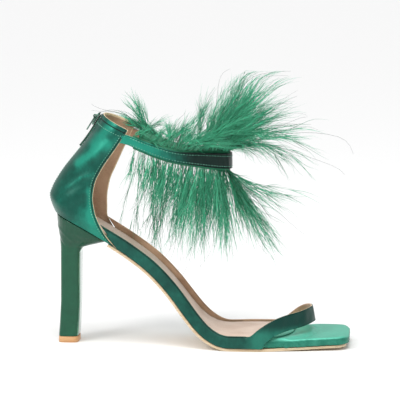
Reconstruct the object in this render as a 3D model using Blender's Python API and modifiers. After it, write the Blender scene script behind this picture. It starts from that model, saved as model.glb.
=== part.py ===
"""High heel sandal for the right foot: square padded toe, slim block heel, closed
heel counter with a back zip, toe strap, and an ankle strap trimmed with feathers.
Metres, +Z up. The toe points along +X and the outer side of the foot faces -Y.
x = 0 is the back of the counter and z = 0 is the floor."""

import math

import bmesh
import bpy
from mathutils import Matrix, Vector

for old in list(bpy.data.objects):
    bpy.data.objects.remove(old, do_unlink=True)

MM = 0.001

# Sizes of the sole
SHOE_LENGTH = 228.5 * MM     # back of the counter to the tip of the toe
HEEL_HEIGHT = 98.6 * MM      # floor to the underside of the seat, at its back
BALL_WIDTH = 77.0 * MM       # widest part of the sole
SEAT_WIDTH = 50.0 * MM       # width of the heel seat
TOE_WIDTH = 54.0 * MM        # width of the square toe
TOE_CORNER = 9.0 * MM        # radius of the toe's corners
TOE_SPRING = 2.4 * MM        # lift of the toe's tip
CLEARANCE = 0.3 * MM         # gap between pieces that seat on each other
OUTSOLE = 2.0 * MM           # thickness of the outsole
OUTSOLE_INSET = 0.9 * MM     # its edge inside the upper's outline
BOARD = 4.4 * MM             # thickness of the insole board in the arch
TOE_BOARD = 6.0 * MM         # thickness of the padded toe
PAD_STEP = 1.3 * MM          # rise of the pad behind the toe
FOOTBED = 1.2 * MM           # thickness of the sock

# Sizes of the upper
UPPER_WALL = 1.6 * MM        # thickness of the counter, bands and toe strap
SIDE_BAND = 9.4 * MM         # height of the bands along the footbed
TOE_STRAP_HEIGHT = 29.2 * MM  # top of the toe strap over the floor
TOE_STRAP_WIDTH = 11.6 * MM  # width of the toe strap
COLLAR_HEIGHT = 74.2 * MM    # top of the counter at its back, over the seat
ANKLE_WIDTH = 54.0 * MM      # outside width of the counter and the ankle strap
ANKLE_REACH = 77.0 * MM      # counter's front corner to the strap's front
ANKLE_FALL = 17.4 * MM       # the strap's front below its ends
ANKLE_STRAP = 12.0 * MM      # width of the ankle strap at its front
ANKLE_WALL = 1.2 * MM        # thickness of the ankle strap

# Sizes of the heel
HEEL_DEPTH = 15.3 * MM       # column, front to back
HEEL_WIDTH = 23.5 * MM       # column, side to side
LIFT_HEIGHT = 4.6 * MM       # height of the top lift

# Sizes of the zip
ZIP_WIDTH = 6.4 * MM         # width of the closed chain
ZIP_THICKNESS = 1.2 * MM     # height of the chain over the counter
SLIDER_LENGTH = 10.6 * MM
SLIDER_WIDTH = 8.4 * MM
SLIDER_THICKNESS = 1.4 * MM
BRIDGE_ROD = 0.9 * MM        # thickness of the slider's bridge
PULL_LENGTH = 12.5 * MM
PULL_WIDTH = 5.4 * MM
PULL_THICKNESS = 0.9 * MM

# Sizes of the feather trim
TRIM_BAND = 3.0 * MM         # thickness of the band inside the strap
FEATHER_LENGTH = 92.0 * MM   # length of the longest locks
LOCK_SPACING = 5.2 * MM      # distance between two locks along the band

STACK = OUTSOLE + CLEARANCE  # underside of what lies on the outsole


def column_value(rows, name, at):
    """Value of one column of a table at a place along its first column,
    on a smooth curve through the rows that never overshoots them."""
    names = rows[0]
    column = names.index(name)
    xs = [row[0] for row in rows[1:]]
    ys = [row[column] for row in rows[1:]]
    if at <= xs[0]:
        return ys[0]
    if at >= xs[-1]:
        return ys[-1]
    steps = [(ys[i + 1] - ys[i]) / (xs[i + 1] - xs[i]) for i in range(len(xs) - 1)]
    slopes = [steps[0]]
    for before, after in zip(steps, steps[1:]):
        flat = before * after <= 0.0
        slopes.append(0.0 if flat else 2.0 * before * after / (before + after))
    slopes.append(steps[-1])
    i = max(k for k in range(len(xs) - 1) if xs[k] <= at)
    width = xs[i + 1] - xs[i]
    t = (at - xs[i]) / width
    return (
        ys[i] * (1.0 + 2.0 * t) * (1.0 - t) ** 2
        + ys[i + 1] * t * t * (3.0 - 2.0 * t)
        + width * slopes[i] * t * (1.0 - t) ** 2
        - width * slopes[i + 1] * t * t * (1.0 - t)
    )


def soft_step(low, high, at):
    t = min(max((at - low) / (high - low), 0.0), 1.0)
    return t * t * (3.0 - 2.0 * t)


# Underside of the sole: share of the length, then shares of the heel height and
# of the toe spring
PROFILE = (
    ("along", "heel", "spring"),
    (0.018, 1.000, 0.00),
    (0.109, 0.899, 0.00),
    (0.194, 0.785, 0.00),
    (0.228, 0.737, 0.00),
    (0.263, 0.683, 0.00),
    (0.321, 0.583, 0.00),
    (0.359, 0.499, 0.00),
    (0.403, 0.383, 0.00),
    (0.446, 0.251, 0.00),
    (0.490, 0.130, 0.00),
    (0.530, 0.055, 0.00),
    (0.569, 0.013, 0.00),
    (0.604, 0.000, 0.00),
    (0.722, 0.000, 0.00),
    (0.832, 0.000, 0.42),
    (1.000, 0.000, 1.00),
)

# Outline of the sole: share of the length, then each side's share of the width
# that it follows
OUTLINE = (
    ("along", "outer_seat", "inner_seat", "outer_ball", "inner_ball", "outer_toe", "inner_toe"),
    (0.020, 0.500, 0.500, 0.000, 0.000, 0.000, 0.000),
    (0.150, 0.505, 0.500, 0.000, 0.000, 0.000, 0.000),
    (0.220, 0.500, 0.480, 0.000, 0.000, 0.000, 0.000),
    (0.310, 0.360, 0.340, 0.100, 0.075, 0.000, 0.000),
    (0.394, 0.180, 0.180, 0.235, 0.178, 0.000, 0.000),
    (0.482, 0.000, 0.000, 0.412, 0.340, 0.000, 0.000),
    (0.550, 0.000, 0.000, 0.466, 0.405, 0.000, 0.000),
    (0.620, 0.000, 0.000, 0.500, 0.462, 0.000, 0.000),
    (0.690, 0.000, 0.000, 0.500, 0.494, 0.000, 0.000),
    (0.760, 0.000, 0.000, 0.474, 0.494, 0.000, 0.000),
    (0.840, 0.000, 0.000, 0.220, 0.230, 0.310, 0.330),
    (0.920, 0.000, 0.000, 0.070, 0.080, 0.460, 0.470),
    (1.000, 0.000, 0.000, 0.000, 0.000, 0.500, 0.500),
)

SEAT_BACK = 0.018 * SHOE_LENGTH      # back end of the seat
SEAT_ROUND = 0.42 * SEAT_WIDTH       # length over which the seat rounds off
BREAST = 0.200 * SHOE_LENGTH         # front end of the heel's top
COUNTER_FOOT = 0.226 * SHOE_LENGTH   # the counter's front corner on the sole
WIDTHS = {"seat": SEAT_WIDTH, "ball": BALL_WIDTH, "toe": TOE_WIDTH}


def sole_point(x):
    share = x / SHOE_LENGTH
    z = column_value(PROFILE, "heel", share) * HEEL_HEIGHT
    z += column_value(PROFILE, "spring", share) * TOE_SPRING
    return Vector((x, 0.0, z))


def sole_normal(x):
    step = 0.004 * SHOE_LENGTH
    slope = sole_point(x + step) - sole_point(x - step)
    return Vector((-slope.z, 0.0, slope.x)).normalized()


def on_sole(x, y, height):
    """Point at a height over the sole's underside, square to it."""
    place = sole_point(x) + sole_normal(x) * height
    return Vector((place.x, y, place.z))


def half_width(x, side):
    """Distance from the middle line to the outline, side -1 outer and +1 inner."""
    word = "outer" if side < 0 else "inner"
    share = x / SHOE_LENGTH
    return sum(column_value(OUTLINE, word + "_" + key, share) * size
               for key, size in WIDTHS.items())


def rounded_half(x, side, inset, back, front):
    """Half width inside the outline by an inset, rounded off at the seat's back
    and at the toe's corners."""
    half = half_width(x, side) - inset
    reach = SEAT_ROUND
    if x - back < reach:
        t = min(max((x - back) / reach, 0.0), 1.0)
        half *= max(1.0 - (1.0 - t) ** 2.3, 0.0) ** (1.0 / 2.3)
    corner = max(TOE_CORNER - inset, 0.3 * TOE_CORNER)
    if front - x < corner:
        d = min(max(corner - (front - x), 0.0), corner)
        half -= corner - math.sqrt(max(corner ** 2 - d ** 2, 0.0))
    return half


collection = bpy.data.collections.new("high_heel_sandal")
bpy.context.scene.collection.children.link(collection)
helpers = bpy.data.collections.new("helpers")
bpy.context.scene.collection.children.link(helpers)


def material(name, colour, roughness, metallic=0.0):
    made = bpy.data.materials.new(name)
    made.use_nodes = True
    shader = made.node_tree.nodes["Principled BSDF"]
    shader.inputs["Base Color"].default_value = (*colour, 1.0)
    shader.inputs["Roughness"].default_value = roughness
    shader.inputs["Metallic"].default_value = metallic
    made.diffuse_color = (*colour, 1.0)
    return made


SATIN = material("green_satin", (0.020, 0.175, 0.120), 0.38)
SATIN_SOLE = material("padded_satin", (0.030, 0.230, 0.165), 0.40)
SATIN_HEEL = material("heel_satin", (0.018, 0.130, 0.080), 0.30)
LEATHER = material("tan_sock", (0.600, 0.450, 0.370), 0.60)
SOLE_TAN = material("tan_sole", (0.700, 0.540, 0.360), 0.55)
LIFT_TAN = material("tan_lift", (0.690, 0.450, 0.260), 0.50)
ZIP_TEETH = material("green_zip", (0.070, 0.160, 0.110), 0.45)
ZIP_METAL = material("green_metal", (0.060, 0.220, 0.150), 0.30, 0.6)
FEATHER = material("green_feather", (0.020, 0.250, 0.120), 0.80)


def add_object(name, bm, paint, where=collection):
    bmesh.ops.recalc_face_normals(bm, faces=bm.faces)
    mesh = bpy.data.meshes.new(name)
    bm.to_mesh(mesh)
    bm.free()
    mesh.materials.append(paint)
    made = bpy.data.objects.new(name, mesh)
    where.objects.link(made)
    return made


def loft(sections):
    """Closed body through loops that all have the same number of points."""
    bm = bmesh.new()
    rings = [[bm.verts.new(point) for point in section] for section in sections]
    count = len(rings[0])
    for first, second in zip(rings, rings[1:]):
        for k in range(count):
            after = (k + 1) % count
            bm.faces.new((first[k], first[after], second[after], second[k]))
    bm.faces.new(rings[0])
    bm.faces.new(list(reversed(rings[-1])))
    return bm


def spread(start, end, count):
    return [start + (end - start) * k / count for k in range(count + 1)]


def slab(stations, outer, inner, low, high, crown=0.0, edge=0.4 * MM, across=6):
    """Sections of a flat piece that follows the sole, from tables of functions of x:
    its half widths, its underside and its top, with a crown and rounded top edges."""
    sections = []
    for x in stations:
        left, right = outer(x), inner(x)
        base, top = low(x), high(x)
        soft = min(edge, 0.45 * (top - base), 0.4 * min(left, right))
        loop = [(-left + (left + right) * k / across, base) for k in range(across + 1)]
        loop.append((right, top - soft))
        loop.append((right - 0.3 * soft, top - 0.3 * soft))
        for k in range(across + 1):
            t = 1.0 - k / across
            y = (-left + soft) + (left + right - 2.0 * soft) * t
            loop.append((y, top + crown * 4.0 * t * (1.0 - t)))
        loop.append((-left + 0.3 * soft, top - 0.3 * soft))
        loop.append((-left, top - soft))
        sections.append([on_sole(x, y, height) for y, height in loop])
    return sections


def wall_loop(face, wall, u, across, inside=1.0, edge_share=0.3):
    """Loop around a wall at one place along it. face(u, v) is its outer face, with
    v from 0 at the lower edge to 1 at the upper edge. The wall lies inside it: inside is
    -1 where u runs the other way round."""
    step = 0.01
    rise = 0.05
    shares = [k / across for k in range(across + 1)]
    outer, inner = [], []
    for v in shares:
        here = face(u, v)
        along = face(u + step, v) - face(u - step, v)
        up = face(u, min(v + rise, 1.0)) - face(u, max(v - rise, 0.0))
        inward = up.cross(along).normalized() * inside
        outer.append(here)
        inner.append(here + inward * wall)
    low, high = [], []
    for ends, place in ((low, 0), (high, -1)):
        a, b = outer[place], inner[place]
        nearer = outer[1] if place == 0 else outer[-2]
        back = (a - nearer).normalized() * edge_share * wall
        ends.append(a - back)
        ends.append(a.lerp(b, 0.22) - back * 0.25)
        ends.append(a.lerp(b, 0.78) - back * 0.25)
        ends.append(b - back)
    return low[:1] + outer[1:-1] + high + list(reversed(inner[1:-1])) + list(reversed(low[1:]))


def wall_body(face, wall, stations, across, inside=1.0):
    return loft([wall_loop(face, wall, u, across, inside) for u in stations])


# Heights over the sole's underside
ARCH_FRONT = 0.46 * SHOE_LENGTH      # where the board begins to thicken
BALL_START = 0.58 * SHOE_LENGTH      # where it has the toe's thickness
PAD_BACK = 0.70 * SHOE_LENGTH        # the pad's widest place
PAD_FRONT = 0.892 * SHOE_LENGTH      # the pad's rounded front end
STRAP_BASE = {-1: 0.677 * SHOE_LENGTH, 1: 0.768 * SHOE_LENGTH}  # corner band to strap
BASE_FOOT = {-1: 0.716 * SHOE_LENGTH, 1: 0.808 * SHOE_LENGTH}   # strap's lowest point
FULL_BACK = {-1: 0.762 * SHOE_LENGTH, 1: 0.852 * SHOE_LENGTH}   # board begins to widen
WIDENING = 0.050 * SHOE_LENGTH       # length over which the toe board widens
BAND_BACK = COUNTER_FOOT + 0.75 * UPPER_WALL  # foot of the side bands' back end
BAND_FAN = 0.30 * SHOE_LENGTH        # where the bands stand square to the sole
FOOTBED_FRONT = 0.822 * SHOE_LENGTH


def board_height(x):
    return BOARD + (TOE_BOARD - BOARD) * soft_step(ARCH_FRONT, BALL_START, x)


def pad_lift(x):
    """Rise of the board behind the toe, on the middle line."""
    return PAD_STEP * soft_step(0.50 * SHOE_LENGTH, 0.60 * SHOE_LENGTH, x)


def board_half(x, side):
    inside = UPPER_WALL + 1.5 * CLEARANCE
    inside *= 1.0 - soft_step(FULL_BACK[side], FULL_BACK[side] + WIDENING, x)
    back = SEAT_BACK + UPPER_WALL + CLEARANCE
    return rounded_half(x, side, inside, back, SHOE_LENGTH)


# Outsole, from the heel's breast to the toe
outsole_front = SHOE_LENGTH - 2.5 * OUTSOLE_INSET
stations = spread(BREAST + CLEARANCE, 0.60 * SHOE_LENGTH, 20)
stations += spread(0.60 * SHOE_LENGTH, outsole_front - TOE_CORNER, 9)[1:]
stations += [outsole_front - TOE_CORNER * share for share in (0.62, 0.32, 0.12, 0.0)]
add_object("outsole", loft(slab(
    stations,
    lambda x: rounded_half(x, -1, OUTSOLE_INSET, SEAT_BACK, outsole_front),
    lambda x: rounded_half(x, 1, OUTSOLE_INSET, SEAT_BACK, outsole_front),
    lambda x: 0.0,
    lambda x: OUTSOLE,
    across=4)), SOLE_TAN)

# Platform: insole board with the padded square toe. The pad's front is a rounded
# step in its top
platform_back = SEAT_BACK + UPPER_WALL + CLEARANCE


def pad_share(x, y):
    """1 on the pad and 0 in front of it, with a soft edge."""
    reach = PAD_FRONT - PAD_BACK
    side = half_width(min(x, PAD_BACK), -1 if y < 0.0 else 1) * 1.02
    far = max(x - PAD_BACK, 0.0) / reach
    ring = (far ** 2.0 + (abs(y) / side) ** 2.6) ** 0.5 if x > PAD_BACK else 0.0
    return 1.0 - soft_step(0.90, 1.0, ring)


def platform_sections():
    xs = [platform_back + SEAT_ROUND * share for share in (0.015, 0.08, 0.22, 0.45, 0.75)]
    xs += spread(platform_back + SEAT_ROUND, 0.60 * SHOE_LENGTH, 15)
    xs += spread(0.60 * SHOE_LENGTH, 0.76 * SHOE_LENGTH, 4)[1:]
    xs += spread(0.76 * SHOE_LENGTH, 0.92 * SHOE_LENGTH, 14)[1:]
    xs += [SHOE_LENGTH - TOE_CORNER * share for share in (1.0, 0.72, 0.46, 0.25, 0.10, 0.0)]
    across = 12
    sections = []
    for x in xs:
        left, right = board_half(x, -1), board_half(x, 1)
        top = STACK + board_height(x)
        soft = min(0.28 * board_height(x), 0.4 * min(left, right))
        tip = 1.0 - soft_step(0.0, 0.5 * TOE_CORNER, SHOE_LENGTH - x)
        top -= 0.22 * TOE_BOARD * tip
        loop = [(-left + (left + right) * k / across, STACK) for k in range(across + 1)]
        loop.append((right, top - soft))
        loop.append((right - 0.3 * soft, top - 0.3 * soft))
        for k in range(across + 1):
            t = 1.0 - k / across
            y = (-left + soft) + (left + right - 2.0 * soft) * t
            rise = pad_lift(x) * pad_share(x, y)
            rise += 0.10 * TOE_BOARD * soft_step(ARCH_FRONT, BALL_START, x) * 4.0 * t * (1.0 - t)
            loop.append((y, top + rise))
        loop.append((-left + 0.3 * soft, top - 0.3 * soft))
        loop.append((-left, top - soft))
        sections.append([on_sole(x, y, height) for y, height in loop])
    return sections


add_object("platform", loft(platform_sections()), SATIN_SOLE)


# Footbed: the tan sock, between the bands and under the toe strap
def footbed_half(x, side):
    inside = UPPER_WALL + 2.0 * CLEARANCE + 0.28 * board_height(x)
    half = rounded_half(x, side, inside, platform_back + 2.0 * CLEARANCE, SHOE_LENGTH)
    reach = 0.55 * BALL_WIDTH / 2.0
    if FOOTBED_FRONT - x < reach:
        t = min(max(1.0 - (FOOTBED_FRONT - x) / reach, 0.0), 1.0)
        half *= max(1.0 - t ** 2.4, 0.0) ** (1.0 / 2.4)
    return half


def footbed_sections():
    start = platform_back + 2.0 * CLEARANCE
    xs = [start + SEAT_ROUND * share for share in (0.02, 0.10, 0.25, 0.5)]
    xs += spread(start + SEAT_ROUND * 0.8, 0.72 * SHOE_LENGTH, 20)
    end = FOOTBED_FRONT
    reach = 0.55 * BALL_WIDTH / 2.0
    xs += [end - reach * share for share in (0.75, 0.5, 0.3, 0.15, 0.05, 0.008)]
    across = 8
    sections = []
    for x in xs:
        left, right = footbed_half(x, -1), footbed_half(x, 1)
        wide = board_half(x, -1) + board_half(x, 1)
        loop, upper = [], []
        for k in range(across + 1):
            y = -left + (left + right) * k / across
            t = (y + board_half(x, -1)) / wide
            rest = STACK + board_height(x) + CLEARANCE + pad_lift(x) * pad_share(x, y)
            rest += 0.10 * TOE_BOARD * soft_step(ARCH_FRONT, BALL_START, x) * 4.0 * t * (1.0 - t)
            loop.append((y, rest))
            edge = 0.45 if k in (0, across) else 1.0
            upper.append((y, rest + FOOTBED * edge))
        sections.append([on_sole(x, y, h) for y, h in loop + list(reversed(upper))])
    return sections


add_object("footbed", loft(footbed_sections()), LEATHER)

# Heel block: rows from the lift up to the seat. lean moves from a level ring to one
# that follows the seat; back, front and width are shares of the column and the seat
COLUMN_BACK = 0.037 * SHOE_LENGTH
COLUMN_TOP = 0.735 * HEEL_HEIGHT
HEEL_ROWS = (
    ("height", "back", "front", "side", "lean"),
    (0.000, -0.115, 0.000, 0.90, 0.00),
    (0.120, -0.070, 0.000, 0.91, 0.00),
    (0.400, 0.000, 0.000, 0.95, 0.00),
    (0.800, 0.015, 0.000, 1.02, 0.00),
    (0.960, 0.020, 0.010, 1.05, 0.00),
)
HEEL_FLARE = (
    ("lean", "back", "front", "side"),
    (0.06, 0.00, 0.10, 0.10),
    (0.16, 0.06, 0.34, 0.24),
    (0.34, 0.25, 0.66, 0.50),
    (0.60, 0.60, 0.90, 0.78),
    (0.84, 0.88, 0.99, 0.95),
    (1.00, 1.00, 1.00, 1.00),
)


def heel_ring(back, front, half, height_at, power=3.2, count=8):
    """Loop around the heel, square with rounded corners. half(t) is the half width
    at a share of the depth."""
    loop = []
    for k in range(4 * count):
        angle = 2.0 * math.pi * (k + 0.5) / (4 * count)
        c, s = math.cos(angle), math.sin(angle)
        px = 0.5 - 0.5 * math.copysign(abs(c) ** (2.0 / power), c)
        py = math.copysign(abs(s) ** (2.0 / power), s)
        x = back + (front - back) * px
        loop.append(Vector((x, half(px) * py, height_at(x))))
    return loop


def heel_sections():
    sections = []
    bottom = LIFT_HEIGHT + CLEARANCE
    for row in HEEL_ROWS[1:]:
        height, back, front, side, _ = row
        z = bottom + (COLUMN_TOP - bottom) * height
        rear = COLUMN_BACK + back * HEEL_DEPTH
        face = COLUMN_BACK + HEEL_DEPTH * (1.0 + front) + back * HEEL_DEPTH
        half = side * HEEL_WIDTH / 2.0
        sections.append(heel_ring(rear, face, lambda t, h=half: h, lambda x, z=z: z, 5.0))
    rear_low = COLUMN_BACK + 0.02 * HEEL_DEPTH
    face_low = COLUMN_BACK + HEEL_DEPTH * 1.03
    wide_low = 1.06 * HEEL_WIDTH / 2.0
    rear_high = SEAT_BACK + 0.030 * SEAT_WIDTH
    face_high = BREAST
    for row in HEEL_FLARE[1:]:
        lean, back, front, side = row
        rear = rear_low + (rear_high - rear_low) * back
        face = face_low + (face_high - face_low) * front
        share = side
        wide = wide_low + (half_width(BREAST, -1) - 0.6 * MM - wide_low) * share

        def height_at(x, lean=lean):
            top = sole_point(x).z + OUTSOLE / max(sole_normal(x).z, 0.3)
            level = COLUMN_TOP + 0.02 * HEEL_HEIGHT * lean
            return level + (top - level) * lean

        power = 5.0 + (2.4 - 5.0) * share
        sections.append(heel_ring(rear, face, lambda t, w=wide: w, height_at, power))
    return sections


add_object("heel_block", loft(heel_sections()), SATIN_HEEL)

lift_back = COLUMN_BACK - 0.115 * HEEL_DEPTH
lift_half = 0.90 * HEEL_WIDTH / 2.0
lift_rings = []
for z, grow in ((0.0, -0.3 * MM), (0.3 * MM, 0.0), (LIFT_HEIGHT, 0.0)):
    lift_rings.append(heel_ring(
        lift_back - grow, lift_back + HEEL_DEPTH + grow,
        lambda t, h=lift_half + grow: h, lambda x, z=z: z, 5.0))
add_object("top_lift", loft(lift_rings), LIFT_TAN)

# Counter: a cup round the heel, open in front. Each row is a level from the seat to
# the collar. back and front are the ends of the level on the middle line and at its
# front edges, along and up, as shares of the seat width and of the collar height. inner
# is how much farther forward the inner side's edge stands, as a share of the seat width
COUNTER = (
    ("level", "back_x", "back_z", "front_x", "front_z", "side", "round", "inner"),
    (0.00, 0.100, 0.000, 1.057, -0.350, 0.478, 0.44, 0.000),
    (0.12, 0.042, 0.088, 0.924, -0.248, 0.494, 0.44, 0.000),
    (0.22, 0.018, 0.168, 0.824, -0.128, 0.500, 0.44, 0.000),
    (0.34, 0.058, 0.253, 0.740, 0.014, 0.500, 0.46, 0.070),
    (0.46, 0.154, 0.364, 0.708, 0.162, 0.492, 0.48, 0.110),
    (0.58, 0.253, 0.461, 0.732, 0.296, 0.486, 0.50, 0.120),
    (0.72, 0.397, 0.586, 0.840, 0.458, 0.486, 0.54, 0.110),
    (0.86, 0.574, 0.735, 1.008, 0.624, 0.492, 0.58, 0.060),
    (1.00, 0.826, 1.000, 1.246, 0.858, 0.500, 0.62, 0.000),
)
SEAT_EDGE = sole_point(SEAT_BACK).z + STACK / sole_normal(SEAT_BACK).z


def counter_level(v):
    def value(name):
        return column_value(COUNTER, name, v)
    low_z = SEAT_EDGE
    front_low = on_sole(COUNTER_FOOT, 0.0, STACK)
    back = Vector((
        value("back_x") * SEAT_WIDTH + (SEAT_BACK - 0.1 * SEAT_WIDTH) * (1.0 - v),
        0.0, low_z + value("back_z") * COLLAR_HEIGHT))
    front = Vector((value("front_x") * SEAT_WIDTH, 0.0,
                    low_z + value("front_z") * COLLAR_HEIGHT))
    foot = Vector((COUNTER[1][3] * SEAT_WIDTH, 0.0, low_z + COUNTER[1][4] * COLLAR_HEIGHT))
    front = front + (front_low - foot) * max(1.0 - v / 0.4, 0.0)
    half = value("side") * ANKLE_WIDTH
    seat_half = half_width(COUNTER_FOOT, -1)
    half += (seat_half - half) * (1.0 - soft_step(0.0, 0.22, v))
    return back, front, half, value("round")


SEAT_LEVEL = counter_level(0.0)


def counter_face(u, v):
    """Outer face of the counter: u runs from -1 at the outer front edge round the
    heel to +1 at the inner one, v from the seat to the collar."""
    back, front, half, turn = counter_level(v)
    if u > 0.0:
        front = front + (front - back).normalized() * column_value(COUNTER, "inner", v) * SEAT_WIDTH
    depth = (front - back).length
    reach = min(turn * ANKLE_WIDTH, 0.9 * depth)
    bend = reach * 1.25
    run = abs(u) * (depth - reach + bend)
    if run < bend:
        angle = run / bend * math.pi / 2.0
        power = 2.15
        out = math.sin(angle) ** (2.0 / power) if angle > 0.0 else 0.0
        deep = 1.0 - math.cos(angle) ** (2.0 / power) if angle < math.pi / 2.0 else 1.0
        distance, y = reach * deep, half * out
    else:
        distance, y = reach + run - bend, half
    place = back + (front - back) * (distance / depth)
    low_back, low_front, _, _ = SEAT_LEVEL
    below = low_back.lerp(low_front, distance / depth)
    rest = sole_point(below.x).z + STACK / max(sole_normal(below.x).z, 0.3)
    z = place.z + (rest - below.z) * (1.0 - soft_step(0.0, 0.3, v))
    return Vector((place.x, math.copysign(y, u), z))


stations = [-1.0 + 2.0 * k / 34 for k in range(35)]
counter = add_object(
    "back_upper", wall_body(counter_face, UPPER_WALL, stations, 10, inside=-1.0), SATIN)

# Ankle strap: share of the way from the counter's corner to the strap's front, then
# its fall and its width
ANKLE = (
    ("along", "fall", "width"),
    (0.00, 0.000, 0.600),
    (0.24, 0.420, 0.680),
    (0.44, 0.700, 0.700),
    (0.56, 0.790, 0.740),
    (0.72, 0.860, 0.860),
    (0.88, 0.940, 0.980),
    (1.00, 1.000, 1.000),
)
_, COLLAR_FRONT, _, _ = counter_level(1.0)
STRAP_ROOT = Vector((COLLAR_FRONT.x - 0.010 * SEAT_WIDTH, 0.0,
                     COLLAR_FRONT.z - 0.100 * COLLAR_HEIGHT))


def ankle_plan(u, inset=0.0):
    """Place and share along the strap, u from -1 at its outer root by 0 at the
    front to +1 at its inner root. Beyond the roots it runs on, into the counter."""
    half = ANKLE_WIDTH / 2.0 - (UPPER_WALL - ANKLE_WALL) / 2.0 - inset
    reach = ANKLE_REACH - inset
    side = -1.0 if u < 0.0 else 1.0
    if abs(u) > 1.0:
        x = STRAP_ROOT.x - (abs(u) - 1.0) * ANKLE_REACH * 1.4
        return x, side * half, 0.0
    angle = abs(u) * math.pi / 2.0
    power = 2.25
    out = math.sin(angle) ** (2.0 / power) if angle > 0.0 else 0.0
    deep = max(math.cos(angle), 0.0) ** (2.0 / power)
    return STRAP_ROOT.x + reach * deep, side * half * out, deep


def ankle_edges(u):
    x, y, share = ankle_plan(u)
    middle = STRAP_ROOT.z - ANKLE_FALL * column_value(ANKLE, "fall", share)
    width = ANKLE_STRAP * column_value(ANKLE, "width", share)
    if abs(u) > 1.0:
        middle += (abs(u) - 1.0) * ANKLE_REACH * 0.30
    return middle - width / 2.0, middle + width / 2.0


def ankle_face(u, v):
    x, y, _ = ankle_plan(u)
    low, high = ankle_edges(u)
    return Vector((x, y, low + (high - low) * v))


ROOT_SHARE = 0.055
stations = [-1.0 - ROOT_SHARE, -1.0 - ROOT_SHARE / 2.0] + [-1.0 + 2.0 * k / 30 for k in range(31)]
stations += [1.0 + ROOT_SHARE / 2.0, 1.0 + ROOT_SHARE]
strap = add_object("ankle_strap_form", wall_body(ankle_face, ANKLE_WALL, stations, 3),
                   SATIN, helpers)
strap.hide_render = True
strap.display_type = "WIRE"
join = counter.modifiers.new("ankle_strap", "BOOLEAN")
join.operation = "UNION"
join.solver = "EXACT"
join.object = strap

# Front upper: side bands and toe strap in one band. Each strap row is a place on the
# upper edge: along the shoe, out to the outline, up to the strap's height; lean is
# the angle at which the width falls away, and foot the share of the outline below
STRAP_OUTER = (
    ("step", "along", "out", "up", "lean", "foot"),
    (1.0, 0.702, 1.000, 0.560, 60.0, 1.000),
    (2.0, 0.728, 0.990, 0.700, 72.0, 1.000),
    (3.0, 0.762, 0.925, 0.832, 83.0, 0.955),
    (4.0, 0.800, 0.775, 0.912, 84.0, 0.800),
    (5.0, 0.837, 0.560, 0.955, 80.0, 0.585),
    (6.0, 0.864, 0.270, 0.992, 79.0, 0.285),
    (7.0, 0.875, 0.000, 1.000, 79.0, 0.000),
)
STRAP_INNER = (
    ("step", "along", "out", "up", "lean", "foot"),
    (1.0, 0.783, 1.000, 0.500, 54.0, 1.000),
    (2.0, 0.801, 0.985, 0.620, 61.0, 1.000),
    (3.0, 0.822, 0.925, 0.760, 66.0, 0.955),
    (4.0, 0.845, 0.790, 0.880, 70.0, 0.820),
    (5.0, 0.862, 0.570, 0.950, 74.0, 0.600),
    (6.0, 0.872, 0.280, 0.990, 78.0, 0.295),
    (7.0, 0.875, 0.000, 1.000, 79.0, 0.000),
)


def counter_front_x(z):
    """Place along the shoe of the counter's front edge at a height."""
    fronts = [counter_level(k / 60)[1] for k in range(31)]
    for below, above in zip(fronts, fronts[1:]):
        if below.z <= z <= above.z:
            share = (z - below.z) / (above.z - below.z)
            return below.x + (above.x - below.x) * share
    return fronts[0].x


def band_top_back():
    """Station whose upper edge point lies just in front of the counter's edge."""
    x = 0.5 * BAND_BACK
    while x < BAND_BACK:
        top = on_sole(x, 0.0, STACK + SIDE_BAND)
        if top.x >= counter_front_x(top.z) + CLEARANCE + 0.3 * UPPER_WALL:
            return x
        x += 0.001 * SHOE_LENGTH
    return x


def band_edges(side):
    """Pairs of lower and upper edge points from the band's back end to the middle
    of the toe strap."""
    pairs = []
    corner, foot = STRAP_BASE[side], BASE_FOOT[side]
    lows = spread(BAND_BACK, BAND_FAN, 5)
    highs = spread(band_top_back(), BAND_FAN, 5)
    for low, high in zip(lows[:-1], highs[:-1]):
        pairs.append((on_sole(low, side * half_width(low, side), STACK),
                      on_sole(high, side * half_width(high, side), STACK + SIDE_BAND)))
    for x in spread(BAND_FAN, corner - 0.06 * SHOE_LENGTH, 13):
        half = side * half_width(x, side)
        pairs.append((on_sole(x, half, STACK), on_sole(x, half, STACK + SIDE_BAND)))
    for share in (0.35, 0.7, 1.0):
        high = corner - 0.06 * SHOE_LENGTH * (1.0 - share)
        low = high + (foot - corner) * share ** 1.4
        pairs.append((on_sole(low, side * half_width(low, side), STACK),
                      on_sole(high, side * half_width(high, side), STACK + SIDE_BAND)))
    rows = STRAP_OUTER if side < 0 else STRAP_INNER
    for step in spread(1.0, 7.0, 12):
        x = column_value(rows, "along", step) * SHOE_LENGTH
        z = column_value(rows, "up", step) * TOE_STRAP_HEIGHT
        lean = math.radians(column_value(rows, "lean", step))
        y = side * half_width(x, side) * column_value(rows, "out", step)
        low_x = x + TOE_STRAP_WIDTH * math.cos(lean)
        low_y = side * half_width(low_x, side) * column_value(rows, "foot", step)
        low_z = z - TOE_STRAP_WIDTH * math.sin(lean)
        pairs.append((Vector((low_x, low_y, low_z)), Vector((x, y, z))))
    return pairs


outer_pairs = band_edges(-1)
inner_pairs = band_edges(1)
band_pairs = outer_pairs + list(reversed(inner_pairs[:-1]))


def band_face(u, v):
    place = min(max(u, 0.0), 1.0) * (len(band_pairs) - 1)
    i = min(int(place), len(band_pairs) - 2)
    t = place - i
    low = band_pairs[i][0].lerp(band_pairs[i + 1][0], t)
    high = band_pairs[i][1].lerp(band_pairs[i + 1][1], t)
    point = low.lerp(high, v)
    return point


stations = [k / (len(band_pairs) - 1) for k in range(len(band_pairs))]
add_object("front_upper", wall_body(band_face, UPPER_WALL, stations, 4), SATIN)

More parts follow.
